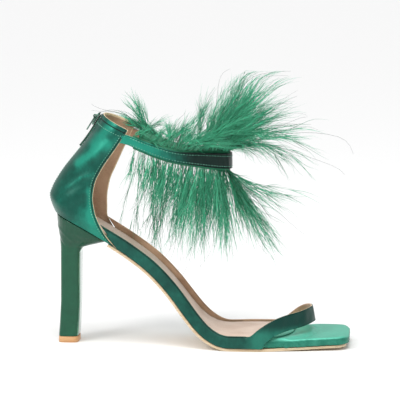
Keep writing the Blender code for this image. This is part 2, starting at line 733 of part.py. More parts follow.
# Zip: the chain down the back of the counter, its slider at the collar and the pull
# hanging from the slider's bridge
ZIP_LOW_SHARE = 0.790
ZIP_HIGH_SHARE = 0.990


def back_frame(v):
    """Point on the counter's back, with the directions up along it and outward."""
    here = counter_face(0.0, v)
    ahead = counter_face(0.0, min(v + 0.02, 1.0)) - counter_face(0.0, v - 0.02)
    up = ahead.normalized()
    outward = Vector((-up.z, 0.0, up.x))
    return here, up, outward


chain_loops = []
for v in spread(ZIP_LOW_SHARE, ZIP_HIGH_SHARE, 9):
    here, up, outward = back_frame(v)
    loop = []
    for y, height in ((-0.5, 0.0), (0.5, 0.0), (0.5, 0.6), (0.4, 1.0), (-0.4, 1.0), (-0.5, 0.6)):
        rise = CLEARANCE + ZIP_THICKNESS * height
        loop.append(here + outward * rise + Vector((0.0, y * ZIP_WIDTH, 0.0)))
    chain_loops.append(loop)
add_object("zip_chain", loft(chain_loops), ZIP_TEETH)

SLIDER_SHARE = 0.962
here, up, outward = back_frame(SLIDER_SHARE)
tilt = Matrix((
    (-outward.x, 0.0, up.x),
    (0.0, 1.0, 0.0),
    (-outward.z, 0.0, up.z),
))
seat = CLEARANCE * 2.0 + ZIP_THICKNESS


def on_slider(out, y, along):
    """Point in the slider's own directions: out of the counter, across, and up."""
    return here + outward * (seat + out) + up * along + Vector((0.0, y, 0.0))


def prism(points, low, high):
    """Closed body from an outline in the slider's out and up directions."""
    return loft([[on_slider(out, y, along) for out, along in points] for y in (low, high)])


half_length = SLIDER_LENGTH / 2.0
slope = 0.25 * SLIDER_THICKNESS
plate_loops = []
for share, narrow, thin in ((-1.0, 0.72, 0.70), (-0.82, 0.86, 0.95), (0.0, 0.94, 1.0),
                            (0.6, 1.0, 1.0), (0.9, 0.96, 0.9), (1.0, 0.80, 0.70)):
    along = share * half_length
    wide = narrow * SLIDER_WIDTH / 2.0
    high = thin * SLIDER_THICKNESS
    plate_loops.append([on_slider(out, y, along) for out, y in (
        (0.0, -wide), (0.0, wide), (high - slope, wide), (high, wide - slope),
        (high, slope - wide), (high - slope, -wide))])
slider = add_object("zip_slider", loft(plate_loops), ZIP_METAL)

PULL_BAR = PULL_THICKNESS            # the bar has the pull's thickness
axis_out = SLIDER_THICKNESS + CLEARANCE + PULL_BAR / 2.0
axis_up = 0.10 * SLIDER_LENGTH
inner_rise = PULL_BAR / 2.0 + CLEARANCE
arch_half = BRIDGE_ROD * 0.75
arch = [
    (-0.5 * SLIDER_THICKNESS, -(inner_rise + BRIDGE_ROD)),
    (axis_out + 0.35 * inner_rise, -(inner_rise + BRIDGE_ROD)),
    (axis_out + inner_rise + BRIDGE_ROD, -0.45 * (inner_rise + BRIDGE_ROD)),
    (axis_out + inner_rise + BRIDGE_ROD, 0.45 * (inner_rise + BRIDGE_ROD)),
    (axis_out + 0.35 * inner_rise, inner_rise + BRIDGE_ROD),
    (-0.5 * SLIDER_THICKNESS, inner_rise + BRIDGE_ROD),
    (-0.5 * SLIDER_THICKNESS, inner_rise * 1.05),
    (axis_out + 0.30 * inner_rise, inner_rise * 1.05),
    (axis_out + inner_rise, 0.42 * inner_rise),
    (axis_out + inner_rise, -0.42 * inner_rise),
    (axis_out + 0.30 * inner_rise, -inner_rise * 1.05),
    (-0.5 * SLIDER_THICKNESS, -inner_rise * 1.05),
]
# the arch's feet stand in the plate's upper half
arch = [(max(out, 0.5 * SLIDER_THICKNESS), along + axis_up) for out, along in arch]
bridge = add_object("bridge_form", prism(arch, -arch_half, arch_half), ZIP_METAL, helpers)
bridge.hide_render = True
bridge.display_type = "WIRE"
join = slider.modifiers.new("bridge", "BOOLEAN")
join.operation = "UNION"
join.solver = "EXACT"
join.object = bridge

# Pull: a tab with an eye round the bridge, made flat with its bar on the origin and
# then set on the hinge line
eye_half = arch_half + CLEARANCE * 1.5
eye_length = inner_rise + BRIDGE_ROD + CLEARANCE * 1.5
tab_half = PULL_WIDTH / 2.0
bar = PULL_BAR / 2.0
bm = bmesh.new()
bmesh.ops.create_cube(bm, size=1.0)
for vert in bm.verts:
    vert.co = Vector((vert.co.x * PULL_THICKNESS, vert.co.y * PULL_WIDTH,
                      (vert.co.z - 0.5) * PULL_LENGTH + bar))
pull = add_object("zip_pull", bm, ZIP_METAL)
bm = bmesh.new()
bmesh.ops.create_cube(bm, size=1.0)
for vert in bm.verts:
    vert.co = Vector((vert.co.x * PULL_THICKNESS * 3.0, vert.co.y * 2.0 * eye_half,
                      -bar - eye_length / 2.0 + vert.co.z * eye_length))
eye = add_object("pull_eye_form", bm, ZIP_METAL, helpers)
eye.hide_render = True
eye.display_type = "WIRE"
cut = pull.modifiers.new("eye", "BOOLEAN")
cut.operation = "DIFFERENCE"
cut.solver = "EXACT"
cut.object = eye
soften = pull.modifiers.new("soft_edges", "BEVEL")
soften.width = 0.18 * PULL_THICKNESS
soften.segments = 1
soften.limit_method = "ANGLE"
hinge = on_slider(axis_out, 0.0, axis_up)
turn = tilt.to_4x4()
for piece in (pull, eye):
    piece.matrix_world = Matrix.Translation(hinge) @ turn

# Feather trim: a band inside the ankle strap, with a lock drawn from each of its
# upper and lower faces. Lengths are shares of the longest lock, lean is the angle out
# of the vertical, sweep turns the lock about the vertical, and vary is how much of the
# tufts' difference in lean it takes
UPPER_LOCKS = (
    ("along", "length", "lean", "sweep", "vary"),
    (-1.00, 0.22, 60.0, 0.0, 0.0),
    (-0.80, 0.26, 58.0, -50.0, 0.0),
    (-0.60, 0.38, 56.0, -64.0, 0.0),
    (-0.40, 0.62, 56.0, -62.0, 0.1),
    (-0.20, 0.90, 62.0, -40.0, 0.5),
    (0.00, 1.00, 66.0, 0.0, 1.0),
    (0.20, 0.90, 62.0, 40.0, 0.5),
    (0.40, 0.62, 52.0, 62.0, 0.1),
    (0.60, 0.42, 48.0, 60.0, 0.0),
    (0.80, 0.32, 46.0, 20.0, 0.0),
    (1.00, 0.30, 46.0, -50.0, 0.0),
)
LOWER_LOCKS = (
    ("along", "length", "lean", "sweep", "vary"),
    (-1.00, 0.34, 16.0, 30.0, 0.0),
    (-0.80, 0.50, 18.0, 65.0, 0.0),
    (-0.60, 0.66, 20.0, 75.0, 0.0),
    (-0.40, 0.76, 20.0, 70.0, 0.1),
    (-0.20, 0.86, 30.0, 20.0, 0.5),
    (0.00, 1.00, 60.0, 0.0, 1.0),
    (0.20, 0.86, 30.0, -20.0, 0.5),
    (0.40, 0.76, 20.0, -70.0, 0.1),
    (0.60, 0.66, 20.0, -75.0, 0.0),
    (0.80, 0.60, 18.0, -55.0, 0.0),
    (1.00, 0.56, 16.0, -30.0, 0.0),
)
# Neighbouring locks differ by turns: their length and how far they lean
TUFTS = (
    ("turn", "length", "lean"),
    (0, 1.00, 1.00),
    (1, 0.72, 0.60),
    (2, 0.90, 1.25),
    (3, 0.62, 0.80),
)
LOCK_STEPS = (
    ("part", "bend", "thick"),
    (0.06, 0.55, 0.90),
    (0.30, 0.82, 0.76),
    (0.66, 1.02, 0.54),
    (1.00, 1.16, 0.22),
)


def trim_loop(u):
    """Section of the band: inside the strap by the clearance, a little taller."""
    x, y, _ = ankle_plan(u, ANKLE_WALL + CLEARANCE)
    deep_x, deep_y, _ = ankle_plan(u, ANKLE_WALL + CLEARANCE + TRIM_BAND)
    low, high = ankle_edges(u)
    low -= 0.10 * ANKLE_STRAP
    high += 0.10 * ANKLE_STRAP
    return [Vector((x, y, low)), Vector((x, y, high)),
            Vector((deep_x, deep_y, high)), Vector((deep_x, deep_y, low))]


arc = math.pi * (ANKLE_REACH + ANKLE_WIDTH / 2.0) / 2.0
lock_count = max(int(arc / LOCK_SPACING), 8)
TRIM_SHARE = 0.975
loops = [trim_loop(-TRIM_SHARE + 2.0 * TRIM_SHARE * k / lock_count) for k in range(lock_count + 1)]
bm = bmesh.new()
rings = [[bm.verts.new(point) for point in loop] for loop in loops]
upper_faces, lower_faces = [], []
for k, (first, second) in enumerate(zip(rings, rings[1:])):
    for j in range(4):
        after = (j + 1) % 4
        face = bm.faces.new((first[j], first[after], second[after], second[j]))
        if j == 1:
            upper_faces.append((k, face))
        if j == 3:
            lower_faces.append((k, face))
bm.faces.new(rings[0])
bm.faces.new(list(reversed(rings[-1])))
bmesh.ops.recalc_face_normals(bm, faces=bm.faces)
roots = [face for _, face in upper_faces + lower_faces]
bmesh.ops.inset_individual(bm, faces=roots, thickness=0.18 * LOCK_SPACING, depth=0.0)


def draw_lock(face, up, k, table):
    """Draws one face out into a lock that bends outward and grows thin."""
    share = -TRIM_SHARE + 2.0 * TRIM_SHARE * (k + 0.5) / lock_count
    tuft = TUFTS[1 + k % 4]
    length = FEATHER_LENGTH * column_value(table, "length", share) * tuft[1]
    vary = 1.0 + (tuft[2] - 1.0) * column_value(table, "vary", share)
    lean = math.radians(column_value(table, "lean", share) * vary)
    sweep = math.radians(column_value(table, "sweep", share))
    start = face.calc_center_median()
    x, y, _ = ankle_plan(share)
    ahead = Vector(ankle_plan(share + 0.01)[:2]) - Vector(ankle_plan(share - 0.01)[:2])
    outward = Vector((ahead.y, -ahead.x, 0.0)).normalized()
    outward.rotate(Matrix.Rotation(-sweep, 3, "Z"))
    root = [vert.co - start for vert in face.verts]
    centre = start.copy()
    before = 0.0
    direction = Vector((0.0, 0.0, up))
    for part, bend, thick in LOCK_STEPS[1:]:
        angle = lean * bend
        heading = Vector((0.0, 0.0, up * math.cos(angle))) + outward * math.sin(angle)
        middle = direction.lerp(heading, 0.5).normalized()
        centre = centre + middle * length * (part - before)
        before = part
        direction = heading
        turn = Vector((0.0, 0.0, up)).rotation_difference(heading)
        face = bmesh.ops.extrude_discrete_faces(bm, faces=[face])["faces"][0]
        for vert, offset in zip(face.verts, root):
            vert.co = centre + (turn @ offset) * thick
    return face


for k, face in upper_faces:
    draw_lock(face, 1.0, k, UPPER_LOCKS)
for k, face in lower_faces:
    draw_lock(face, -1.0, k, LOWER_LOCKS)
add_object("feather_trim", bm, FEATHER)

# The origin is the middle of the top lift on the floor
origin = bpy.data.objects.new("shoe_origin", None)
origin.location = (-(lift_back + HEEL_DEPTH / 2.0), 0.0, 0.0)
collection.objects.link(origin)
for made in list(collection.objects) + list(helpers.objects):
    if made is not origin:
        made.parent = origin
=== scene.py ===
# %% [markdown]
# # A high heel sandal with a feather ankle strap
#
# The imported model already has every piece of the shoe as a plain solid. This lesson dresses
# those solids: satin that is folded and creased, a tan lining, stitches, a zip with teeth
# and a trim of ostrich feathers. The solids could be painted as they are, but soft goods
# need finer meshes, so most pieces are made again from the same few sizes and stand in the
# same places.

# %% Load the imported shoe
import math
import bpy
import bmesh
import numpy as np
from mathutils import Matrix, Vector


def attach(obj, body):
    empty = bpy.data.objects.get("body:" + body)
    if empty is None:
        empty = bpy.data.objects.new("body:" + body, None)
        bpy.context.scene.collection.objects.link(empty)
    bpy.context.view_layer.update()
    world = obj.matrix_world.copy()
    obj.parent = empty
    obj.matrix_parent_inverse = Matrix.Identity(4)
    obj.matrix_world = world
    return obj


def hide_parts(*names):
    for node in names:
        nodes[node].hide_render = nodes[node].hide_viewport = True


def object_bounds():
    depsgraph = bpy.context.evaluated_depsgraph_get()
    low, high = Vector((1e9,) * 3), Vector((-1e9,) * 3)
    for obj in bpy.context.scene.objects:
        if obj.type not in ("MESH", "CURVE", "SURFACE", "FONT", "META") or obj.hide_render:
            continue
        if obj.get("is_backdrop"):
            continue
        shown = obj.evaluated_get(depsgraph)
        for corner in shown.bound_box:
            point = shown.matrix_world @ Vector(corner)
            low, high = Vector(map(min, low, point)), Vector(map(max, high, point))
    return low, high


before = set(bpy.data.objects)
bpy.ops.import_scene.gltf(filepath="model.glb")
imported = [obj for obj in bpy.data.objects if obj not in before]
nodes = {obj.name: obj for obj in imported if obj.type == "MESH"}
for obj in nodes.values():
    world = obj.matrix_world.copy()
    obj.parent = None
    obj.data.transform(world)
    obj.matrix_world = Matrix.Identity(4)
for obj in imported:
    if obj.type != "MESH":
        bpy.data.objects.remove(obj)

cad_low, cad_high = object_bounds()
scene = bpy.context.scene
print("nodes:", ", ".join(sorted(nodes)))

# %% [markdown]
# ## Camera
#
# A product photograph of a shoe is taken from low down and far away with a long lens, so
# that the heel and the toe keep their true proportions. A near camera with a short lens
# would be quicker to place, but it would swell the toe. This camera stands almost two
# metres off, a little above the shoe and a little toward the toe.

# %% The camera
CAMERA_PLACE = (0.24016, -1.78030, 0.33481)
CAMERA_TURN = math.radians(4.5)
CAMERA_DOWN = math.radians(7.2)
CAMERA_LENS = 213.8           # in mm, on a sensor 36 mm wide
camera = bpy.data.objects.new("camera", bpy.data.cameras.new("camera"))
scene.collection.objects.link(camera)
camera.location = CAMERA_PLACE
camera.rotation_euler = (math.pi / 2.0 - CAMERA_DOWN, 0.0, CAMERA_TURN)
camera.data.sensor_width = 36.0
camera.data.lens = CAMERA_LENS
scene.camera = camera
print("camera stands at", tuple(round(value, 3) for value in camera.location))

# %% [markdown]
# ## Floor and light
#
# Satin shows its folds only where something bright is there to be mirrored. A ring of
# small lamps would give hard points of light, so the studio has a very wide sun and two
# soft panels, one overhead and one on the heel's side. The floor is wide, plain and pale,
# and the world gives a little light from everywhere.

# %% The studio
WORLD_LIGHT = 0.60
SUN_LIGHT = 1.55
SUN_WIDTH = math.radians(70.0)
FLOOR_HALF = 9.0              # half of the floor's side, in metres
FLOOR_GREY = 0.93
scene.view_settings.view_transform = "Standard"
world = bpy.data.worlds.new("studio")
scene.world = world
world.use_nodes = True
sky = world.node_tree.nodes["Background"].inputs
sky["Color"].default_value = (1.0, 1.0, 1.0, 1.0)
sky["Strength"].default_value = WORLD_LIGHT
floor_mesh = bpy.data.meshes.new("floor")
floor_mesh.from_pydata([(x * FLOOR_HALF, y * FLOOR_HALF, 0.0)
                        for x, y in ((-1, -1), (1, -1), (1, 1), (-1, 1))], [], [(0, 1, 2, 3)])
floor = bpy.data.objects.new("floor", floor_mesh)
scene.collection.objects.link(floor)
floor_paint = bpy.data.materials.new("pale_floor")
floor_paint.use_nodes = True
floor_look = floor_paint.node_tree.nodes["Principled BSDF"].inputs
floor_look["Base Color"].default_value = (FLOOR_GREY, FLOOR_GREY, FLOOR_GREY, 1.0)
floor_look["Roughness"].default_value = 0.9
floor_mesh.materials.append(floor_paint)
floor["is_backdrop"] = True
sun = bpy.data.objects.new("even_light", bpy.data.lights.new("even_light", "SUN"))
sun.data.energy = SUN_LIGHT
sun.data.angle = SUN_WIDTH
sun.rotation_euler = (math.radians(25.0), math.radians(-15.0), 0.0)
scene.collection.objects.link(sun)


def soft_panel(name, place, aim, size, power):
    """A square area lamp that faces a point on the shoe."""
    lamp = bpy.data.objects.new(name, bpy.data.lights.new(name, "AREA"))
    lamp.data.size = size
    lamp.data.energy = power
    lamp.location = place
    lamp.rotation_euler = (Vector(aim) - Vector(place)).to_track_quat("-Z", "Y").to_euler()
    scene.collection.objects.link(lamp)


soft_panel("overhead_panel", (0.25, -0.45, 1.1), (0.08, 0.0, 0.05), 0.5, 4.0)
soft_panel("side_panel", (-0.55, -0.75, 0.75), (0.02, 0.0, 0.10), 0.35, 3.5)

# %% [markdown]
# ## Writing a finish as a formula
#
# A procedural finish is a net of nodes. Wiring each node by hand takes many lines, so a
# small class wraps one output socket: sums, products and powers of it add the Math nodes
# by themselves, and one method makes every other kind of node.


# %% Shader formulas
class Tone:
    """An output socket in a material's nodes that can be used in a formula."""

    def __init__(self, tree, socket=None):
        self.tree = tree
        self.socket = socket

    def node(self, kind, settings=None, values=None, output=0):
        """Makes a node: its settings first, then the values or links of its sockets."""
        made = self.tree.nodes.new("ShaderNode" + kind)
        for name, value in (settings or {}).items():
            setattr(made, name, value)
        for name, value in (values or {}).items():
            if isinstance(value, Tone):
                self.tree.links.new(value.socket, made.inputs[name])
            else:
                made.inputs[name].default_value = value
        return Tone(self.tree, made.outputs[output])

    def math(self, operation, first, second=0.0):
        return self.node("Math", {"operation": operation}, {0: first, 1: second})

    def __add__(self, other):
        return self.math("ADD", self, other)

    __radd__ = __add__

    def __sub__(self, other):
        return self.math("SUBTRACT", self, other)

    def __rsub__(self, other):
        return self.math("SUBTRACT", other, self)

    def __mul__(self, other):
        return self.math("MULTIPLY", self, other)

    __rmul__ = __mul__

    def __pow__(self, other):
        return self.math("POWER", self, other)

    def between(self, low, high):
        """0 below low, 1 above high and a soft rise from one to the other."""
        return self.node("MapRange", {"interpolation_type": "SMOOTHSTEP"},
                         {"Value": self, "From Min": low, "From Max": high})

    def mix(self, first, second):
        """Colour that goes from first to second as this goes from 0 to 1."""
        return self.node("Mix", {"data_type": "RGBA"}, {0: self, 6: first, 7: second}, 2)


def colour(red, green, blue):
    """A colour from the 0 to 255 numbers that a paint chart gives."""
    def linear(value):
        share = value / 255.0
        return share / 12.92 if share <= 0.04045 else ((share + 0.055) / 1.055) ** 2.4
    return (linear(red), linear(green), linear(blue), 1.0)


def new_finish(name, rough=0.5, **sockets):
    """A material with its plain numbers set. Gives the material, its place on the piece
    in metres, and a function that links what varies over the surface."""
    material = bpy.data.materials.new(name)
    material.use_nodes = True
    tree = material.node_tree
    shader = tree.nodes["Principled BSDF"]
    shader.inputs["Roughness"].default_value = rough
    for socket, value in sockets.items():
        shader.inputs[socket.replace("_", " ")].default_value = value
    place = Tone(tree).node("TexCoord", output=3)

    def link(**links):
        for socket, value in links.items():
            tree.links.new(value.socket, shader.inputs[socket.replace("_", " ")])

    return material, place, link


def noise(place, scale, detail=2.0, stretch=None, rough=0.5):
    """Noise whose patches are one scale-th of a metre across, stretched along axes."""
    if stretch:
        place = place.node("Mapping", None, {"Vector": place, "Scale": stretch})
    return place.node("TexNoise", None, {
        "Vector": place, "Scale": scale, "Detail": detail, "Roughness": rough})


def bump(height, distance):
    return height.node("Bump", None, {"Height": height, "Distance": distance})


def store_painted_light(made, painted_lighting):
    """Stores the painted highlight and shade of the satin's colour at each point, from a
    function of the point, in the shoe's own lengths, and of its normal."""
    mesh = made.data
    values = [painted_lighting(v.co + Vector((ORIGIN, 0.0, 0.0)), v.normal) for v in mesh.vertices]
    attribute = mesh.attributes.new("satin_painted_shading", "FLOAT", "POINT")
    attribute.data.foreach_set("value", values)


print("a green for the satin:", tuple(round(value, 3) for value in colour(28, 120, 95)))

# %% [markdown]
# ## Satin
#
# Satin is woven so that long threads float on its face. It mirrors light in broad soft
# bands in its own colour, with fine streaks along the threads. A plain glossy green would
# look like plastic, so the finish is partly metallic, which tints the gloss, and its
# roughness and bump follow threads and soft puckers. Its bright bands and dark parts are
# also painted into its green, as painted highlight and painted shade stored at each point.


# %% Satin, lining and soles
# Stretch of the noise that draws the threads, which run up the shoe or along it
THREADS_UP = (1.0, 1.0, 0.06)
THREADS_ALONG = (0.06, 1.0, 1.0)


def satin(name, deep, bright, rough=0.34, pucker=0.0004, thread=THREADS_UP,
          metallic=0.40, coat=0.08, coat_rough=0.2):
    """Satin between two greens. pucker is the depth of its bump in metres."""
    material, place, link = new_finish(
        name, rough, Metallic=metallic, Specular_IOR_Level=0.3,
        Coat_Weight=coat, Coat_Roughness=coat_rough)
    broad = noise(place, 55.0, 3.0)
    threads = noise(place, 2400.0, 2.0, thread)
    soft = noise(place, 210.0, 4.0, None, 0.6)
    # The painted highlight and shade stored at each point lightens or darkens the green
    painted_lighting = Tone(place.tree).node("Attribute", {"attribute_name": "satin_painted_shading"}, output=2)
    shade = (painted_lighting + (broad - 0.5) * 0.55 + (soft - 0.5) * 0.5 + (threads - 0.5) * 0.25)
    link(Base_Color=shade.between(0.0, 1.0).mix(deep, bright),
         Roughness=rough - 0.07 + threads * 0.10 + soft * 0.06,
         Normal=bump(broad * 0.9 + soft * 0.25 + threads * 0.05, pucker))
    return material


# The pieces' greens differ: the bands' and strap's darker greens and the padded toe's paler greens
# are painted shade and painted light on one satin
SATIN = satin("green_satin", colour(6, 74, 62), colour(30, 138, 116))
SATIN_BAND = satin("band_satin", colour(10, 62, 54), colour(34, 116, 98), 0.40, 0.0003)
SATIN_STRAP = satin("strap_satin", colour(2, 34, 28), colour(28, 136, 114), 0.34, 0.0003)
SATIN_TOE = satin("padded_satin", colour(22, 108, 88), colour(92, 190, 164), 0.42, 0.0005,
                  THREADS_ALONG, metallic=0.3)
SATIN_HEEL = satin("heel_satin", colour(4, 68, 46), colour(12, 88, 60), 0.34, 0.00015,
                   metallic=0.3, coat=0.35, coat_rough=0.07)
# The heel's breast: a clear glossy coat, and a paler green that is a painted reflection
BREAST_GLOSS_AND_PAINTED_REFLECTION = satin("heel_gloss_and_painted_reflection", colour(40, 110, 84), colour(80, 150, 120), 0.16,
                     0.00008, metallic=0.3, coat=1.0, coat_rough=0.02)
# Darker satin for the sunk sewn grooves beside the edges: painted shade
SATIN_GROOVE_SHADE = satin("groove_shade_satin", colour(2, 24, 18), colour(8, 50, 38), 0.5, 0.0002)


def leather(name, pale, deep, rough, grain=900.0, depth=0.00012):
    material, place, link = new_finish(name, rough, Sheen_Weight=0.15)
    cells = place.node("TexVoronoi", {"feature": "DISTANCE_TO_EDGE"},
                       {"Vector": place, "Scale": grain})
    patch = noise(place, 60.0, 4.0)
    fine = noise(place, 1200.0, 2.0)
    link(Base_Color=(patch * 0.75 + fine * 0.25).between(0.28, 0.72).mix(deep, pale),
         Roughness=rough - 0.06 + patch * 0.12,
         Normal=bump(cells.between(0.0, 0.25) * 0.6 + patch * 0.5, depth))
    return material


LINING = leather("tan_lining", colour(196, 160, 130), colour(158, 122, 94), 0.55)
SOCK = leather("tan_sock", colour(222, 200, 184), colour(196, 168, 148), 0.5, 1100.0)
EDGE = leather("cream_edge", colour(238, 214, 178), colour(214, 184, 142), 0.6)


def layered(name, pale, deep, rough, gloss):
    """Sole material: fine scratches along it and thin layers over its height."""
    material, place, link = new_finish(name, rough, Coat_Weight=gloss, Coat_Roughness=0.3)
    layers = noise(place, 500.0, 2.0, (0.08, 0.08, 3.0))
    marks = noise(place, 700.0, 3.0, (0.15, 1.0, 1.0))
    link(Base_Color=(layers * 0.6 + marks * 0.4).between(0.3, 0.7).mix(deep, pale),
         Roughness=rough - 0.1 + marks * 0.2,
         Normal=bump(layers * 0.5 + marks * 0.5, 0.00008))
    return material


SOLE = layered("tan_sole", colour(218, 198, 168), colour(190, 164, 128), 0.55, 0.0)
LIFT = layered("tan_lift", colour(212, 166, 118), colour(182, 132, 84), 0.5, 0.05)
print("finishes so far:", len(bpy.data.materials))

# %% [markdown]
# ## The sizes of the shoe
#
# Every piece that is made again follows the same sole: a side view that drops from the
# seat to the floor, and an outline that is narrow at the seat, wide at the ball and square
# at the toe. Both are short tables of shares, read on a smooth curve. Tracing the solids
# point by point would work too, but a few shares are easier to read and to change.

# %% Sizes and the sole's shape
MM = 0.001
SHOE_LENGTH = 228.5 * MM
HEEL_HEIGHT = 98.6 * MM
WIDTHS = {"seat": 50.0 * MM, "ball": 77.0 * MM, "toe": 54.0 * MM}
SEAT_WIDTH = WIDTHS["seat"]
ANKLE_WIDTH = 54.0 * MM
ANKLE_REACH = 77.0 * MM
COLLAR_HEIGHT = 74.2 * MM
TOE_SPRING = 2.4 * MM
STACK = 2.3 * MM              # outsole and the gap over it
UPPER_WALL = 1.6 * MM
ANKLE_WALL = 1.2 * MM
ORIGIN = 14.345 * MM          # from the counter's back to the middle of the top lift


def table_value(rows, name, at):
    """One column of a table at a place along its first column, on a smooth curve."""
    column = rows[0].index(name)
    xs = [row[0] for row in rows[1:]]
    ys = [row[column] for row in rows[1:]]
    if at <= xs[0]:
        return ys[0]
    if at >= xs[-1]:
        return ys[-1]
    steps = [(ys[i + 1] - ys[i]) / (xs[i + 1] - xs[i]) for i in range(len(xs) - 1)]
    slopes = [steps[0]]
    for before, after in zip(steps, steps[1:]):
        flat = before * after <= 0.0
        slopes.append(0.0 if flat else 2.0 * before * after / (before + after))
    slopes.append(steps[-1])
    i = max(k for k in range(len(xs) - 1) if xs[k] <= at)
    width = xs[i + 1] - xs[i]
    t = (at - xs[i]) / width
    return (ys[i] * (1.0 + 2.0 * t) * (1.0 - t) ** 2 + ys[i + 1] * t * t * (3.0 - 2.0 * t)
            + width * slopes[i] * t * (1.0 - t) ** 2 - width * slopes[i + 1] * t * t * (1.0 - t))


def ease(low, high, at):
    t = min(max((at - low) / (high - low), 0.0), 1.0)
    return t * t * (3.0 - 2.0 * t)


def spread(start, end, count):
    return [start + (end - start) * k / count for k in range(count + 1)]


PROFILE = (
    ("along", "heel", "spring"),
    (0.018, 1.000, 0.00), (0.109, 0.899, 0.00), (0.194, 0.785, 0.00), (0.228, 0.737, 0.00),
    (0.263, 0.683, 0.00), (0.321, 0.583, 0.00), (0.359, 0.499, 0.00), (0.403, 0.383, 0.00),
    (0.446, 0.251, 0.00), (0.490, 0.130, 0.00), (0.530, 0.055, 0.00), (0.569, 0.013, 0.00),
    (0.604, 0.000, 0.00), (0.722, 0.000, 0.00), (0.832, 0.000, 0.42), (1.000, 0.000, 1.00),
)
OUTLINE = (
    ("along", "outer_seat", "inner_seat", "outer_ball", "inner_ball", "outer_toe", "inner_toe"),
    (0.020, 0.500, 0.500, 0.000, 0.000, 0.000, 0.000),
    (0.150, 0.505, 0.500, 0.000, 0.000, 0.000, 0.000),
    (0.220, 0.500, 0.480, 0.000, 0.000, 0.000, 0.000),
    (0.310, 0.360, 0.340, 0.100, 0.075, 0.000, 0.000),
    (0.394, 0.180, 0.180, 0.235, 0.178, 0.000, 0.000),
    (0.482, 0.000, 0.000, 0.412, 0.340, 0.000, 0.000),
    (0.550, 0.000, 0.000, 0.466, 0.405, 0.000, 0.000),
    (0.620, 0.000, 0.000, 0.500, 0.462, 0.000, 0.000),
    (0.690, 0.000, 0.000, 0.500, 0.494, 0.000, 0.000),
    (0.760, 0.000, 0.000, 0.474, 0.494, 0.000, 0.000),
    (0.840, 0.000, 0.000, 0.220, 0.230, 0.310, 0.330),
    (0.920, 0.000, 0.000, 0.070, 0.080, 0.460, 0.470),
    (1.000, 0.000, 0.000, 0.000, 0.000, 0.500, 0.500),
)


def sole_point(x):
    share = x / SHOE_LENGTH
    z = table_value(PROFILE, "heel", share) * HEEL_HEIGHT
    return Vector((x, 0.0, z + table_value(PROFILE, "spring", share) * TOE_SPRING))


def sole_normal(x):
    step = 0.004 * SHOE_LENGTH
    slope = sole_point(x + step) - sole_point(x - step)
    return Vector((-slope.z, 0.0, slope.x)).normalized()


def on_sole(x, y, height):
    place = sole_point(x) + sole_normal(x) * height
    return Vector((place.x, y, place.z))


def half_width(x, side):
    word = "outer" if side < 0 else "inner"
    return sum(table_value(OUTLINE, word + "_" + key, x / SHOE_LENGTH) * size
               for key, size in WIDTHS.items())


print("ball half width, outer side, in mm:", round(half_width(0.65 * SHOE_LENGTH, -1) / MM, 1))

# %% [markdown]
# ## Making a wall of cloth
#
# The counter, the straps and the side bands are all the same kind of thing: a strip of
# lined satin about a millimetre and a half thick. Solidify could thicken a sheet, but the
# edge of a real strip is where satin is turned over and the cream lining shows, so each
# wall is drawn as loops around its own section. The loops give every face a place, and
# with it a finish: satin, lining, cream edge or the sewn groove beside the edge, whose
# darker satin is painted shade.


# %% Walls and their finishes
def piece(name, verts, faces, paints, marks=None):
    """A mesh object in the frame, made from points in the shoe's own lengths."""
    mesh = bpy.data.meshes.new(name)
    mesh.from_pydata([(v[0] - ORIGIN, v[1], v[2]) for v in verts], [], faces)
    for paint in paints:
        mesh.materials.append(paint)
    if marks:
        mesh.polygons.foreach_set("material_index", marks)
    mesh.polygons.foreach_set("use_smooth", [True] * len(faces))
    bm = bmesh.new()
    bm.from_mesh(mesh)
    bmesh.ops.recalc_face_normals(bm, faces=bm.faces)
    bm.to_mesh(mesh)
    bm.free()
    made = bpy.data.objects.new(name, mesh)
    scene.collection.objects.link(made)
    return made


def skin(name, rings, paints, mark):
    """Closed body through loops whose second half lies behind the first half.
    mark(i, k) gives the finish of the face between two loops."""
    count = len(rings[0])
    verts = [point for ring in rings for point in ring]
    faces, marks = [], []
    for i in range(len(rings) - 1):
        for k in range(count):
            a, b = i * count + k, i * count + (k + 1) % count
            faces.append((a, b, b + count, a + count))
            marks.append(mark(i, k))
    for base, i in ((0, 0), ((len(rings) - 1) * count, len(rings) - 2)):
        for k in range(count // 2 - 1):
            faces.append((base + k, base + k + 1, base + count - 2 - k, base + count - 1 - k))
            marks.append(mark(i, count // 4))
    return piece(name, verts, faces, paints, marks)


# Angles round a wall's rounded edge, and how far its round is set back from the wall's end
EDGE_TURNS = [math.radians(a) for a in (0.0, 26.0, 52.0, 78.0, 102.0, 128.0, 154.0, 180.0)]
EDGE_BACK = 0.9
END_TURNS = [math.radians(a) for a in (30.0, 60.0, 80.0)]
END_REACH = 0.9
# The finishes of a wall's faces, in the order of its materials; the last is the sewn
# groove, darkened with painted shade
OUTSIDE, INSIDE, CUT_EDGE, SHADED_GROOVE = range(4)


def wall_out(face, u, v, inside, rise, step):
    """Direction out of a wall. inside, 1 or -1, tells which way its inner side lies."""
    along = face(u + step, v) - face(u - step, v)
    up = face(u, min(v + rise, 1.0)) - face(u, max(v - rise, 0.0))
    return up.cross(along).normalized() * -inside


def wall_rings(face, us, vs, wall, inside, lift, rise=0.05, step=0.01):
    """Loops of a wall with rounded edges. face(u, v) is its outer side, and lift(u, v)
    how far the satin stands off it."""
    rings = []
    for u in us:
        outer, inner = [], []
        for v in vs:
            here = face(u, v)
            out = wall_out(face, u, v, inside, rise, step)
            outer.append(here + out * lift(u, v))
            inner.append(here - out * wall)
        arcs = []
        for end, before in ((0, 1), (-1, -2)):
            away = (outer[end] - outer[before]).normalized()
            middle = (outer[end] + inner[end]) / 2.0
            half = (outer[end] - inner[end]) / 2.0
            arcs.append([middle + half * math.cos(turn)
                         + away * (half.length * (math.sin(turn) - EDGE_BACK))
                         for turn in EDGE_TURNS])
        low, high = arcs[0][::-1], arcs[1]
        rings.append(low[4:] + outer[1:-1] + high + inner[-2:0:-1] + low[:4])
    return rings


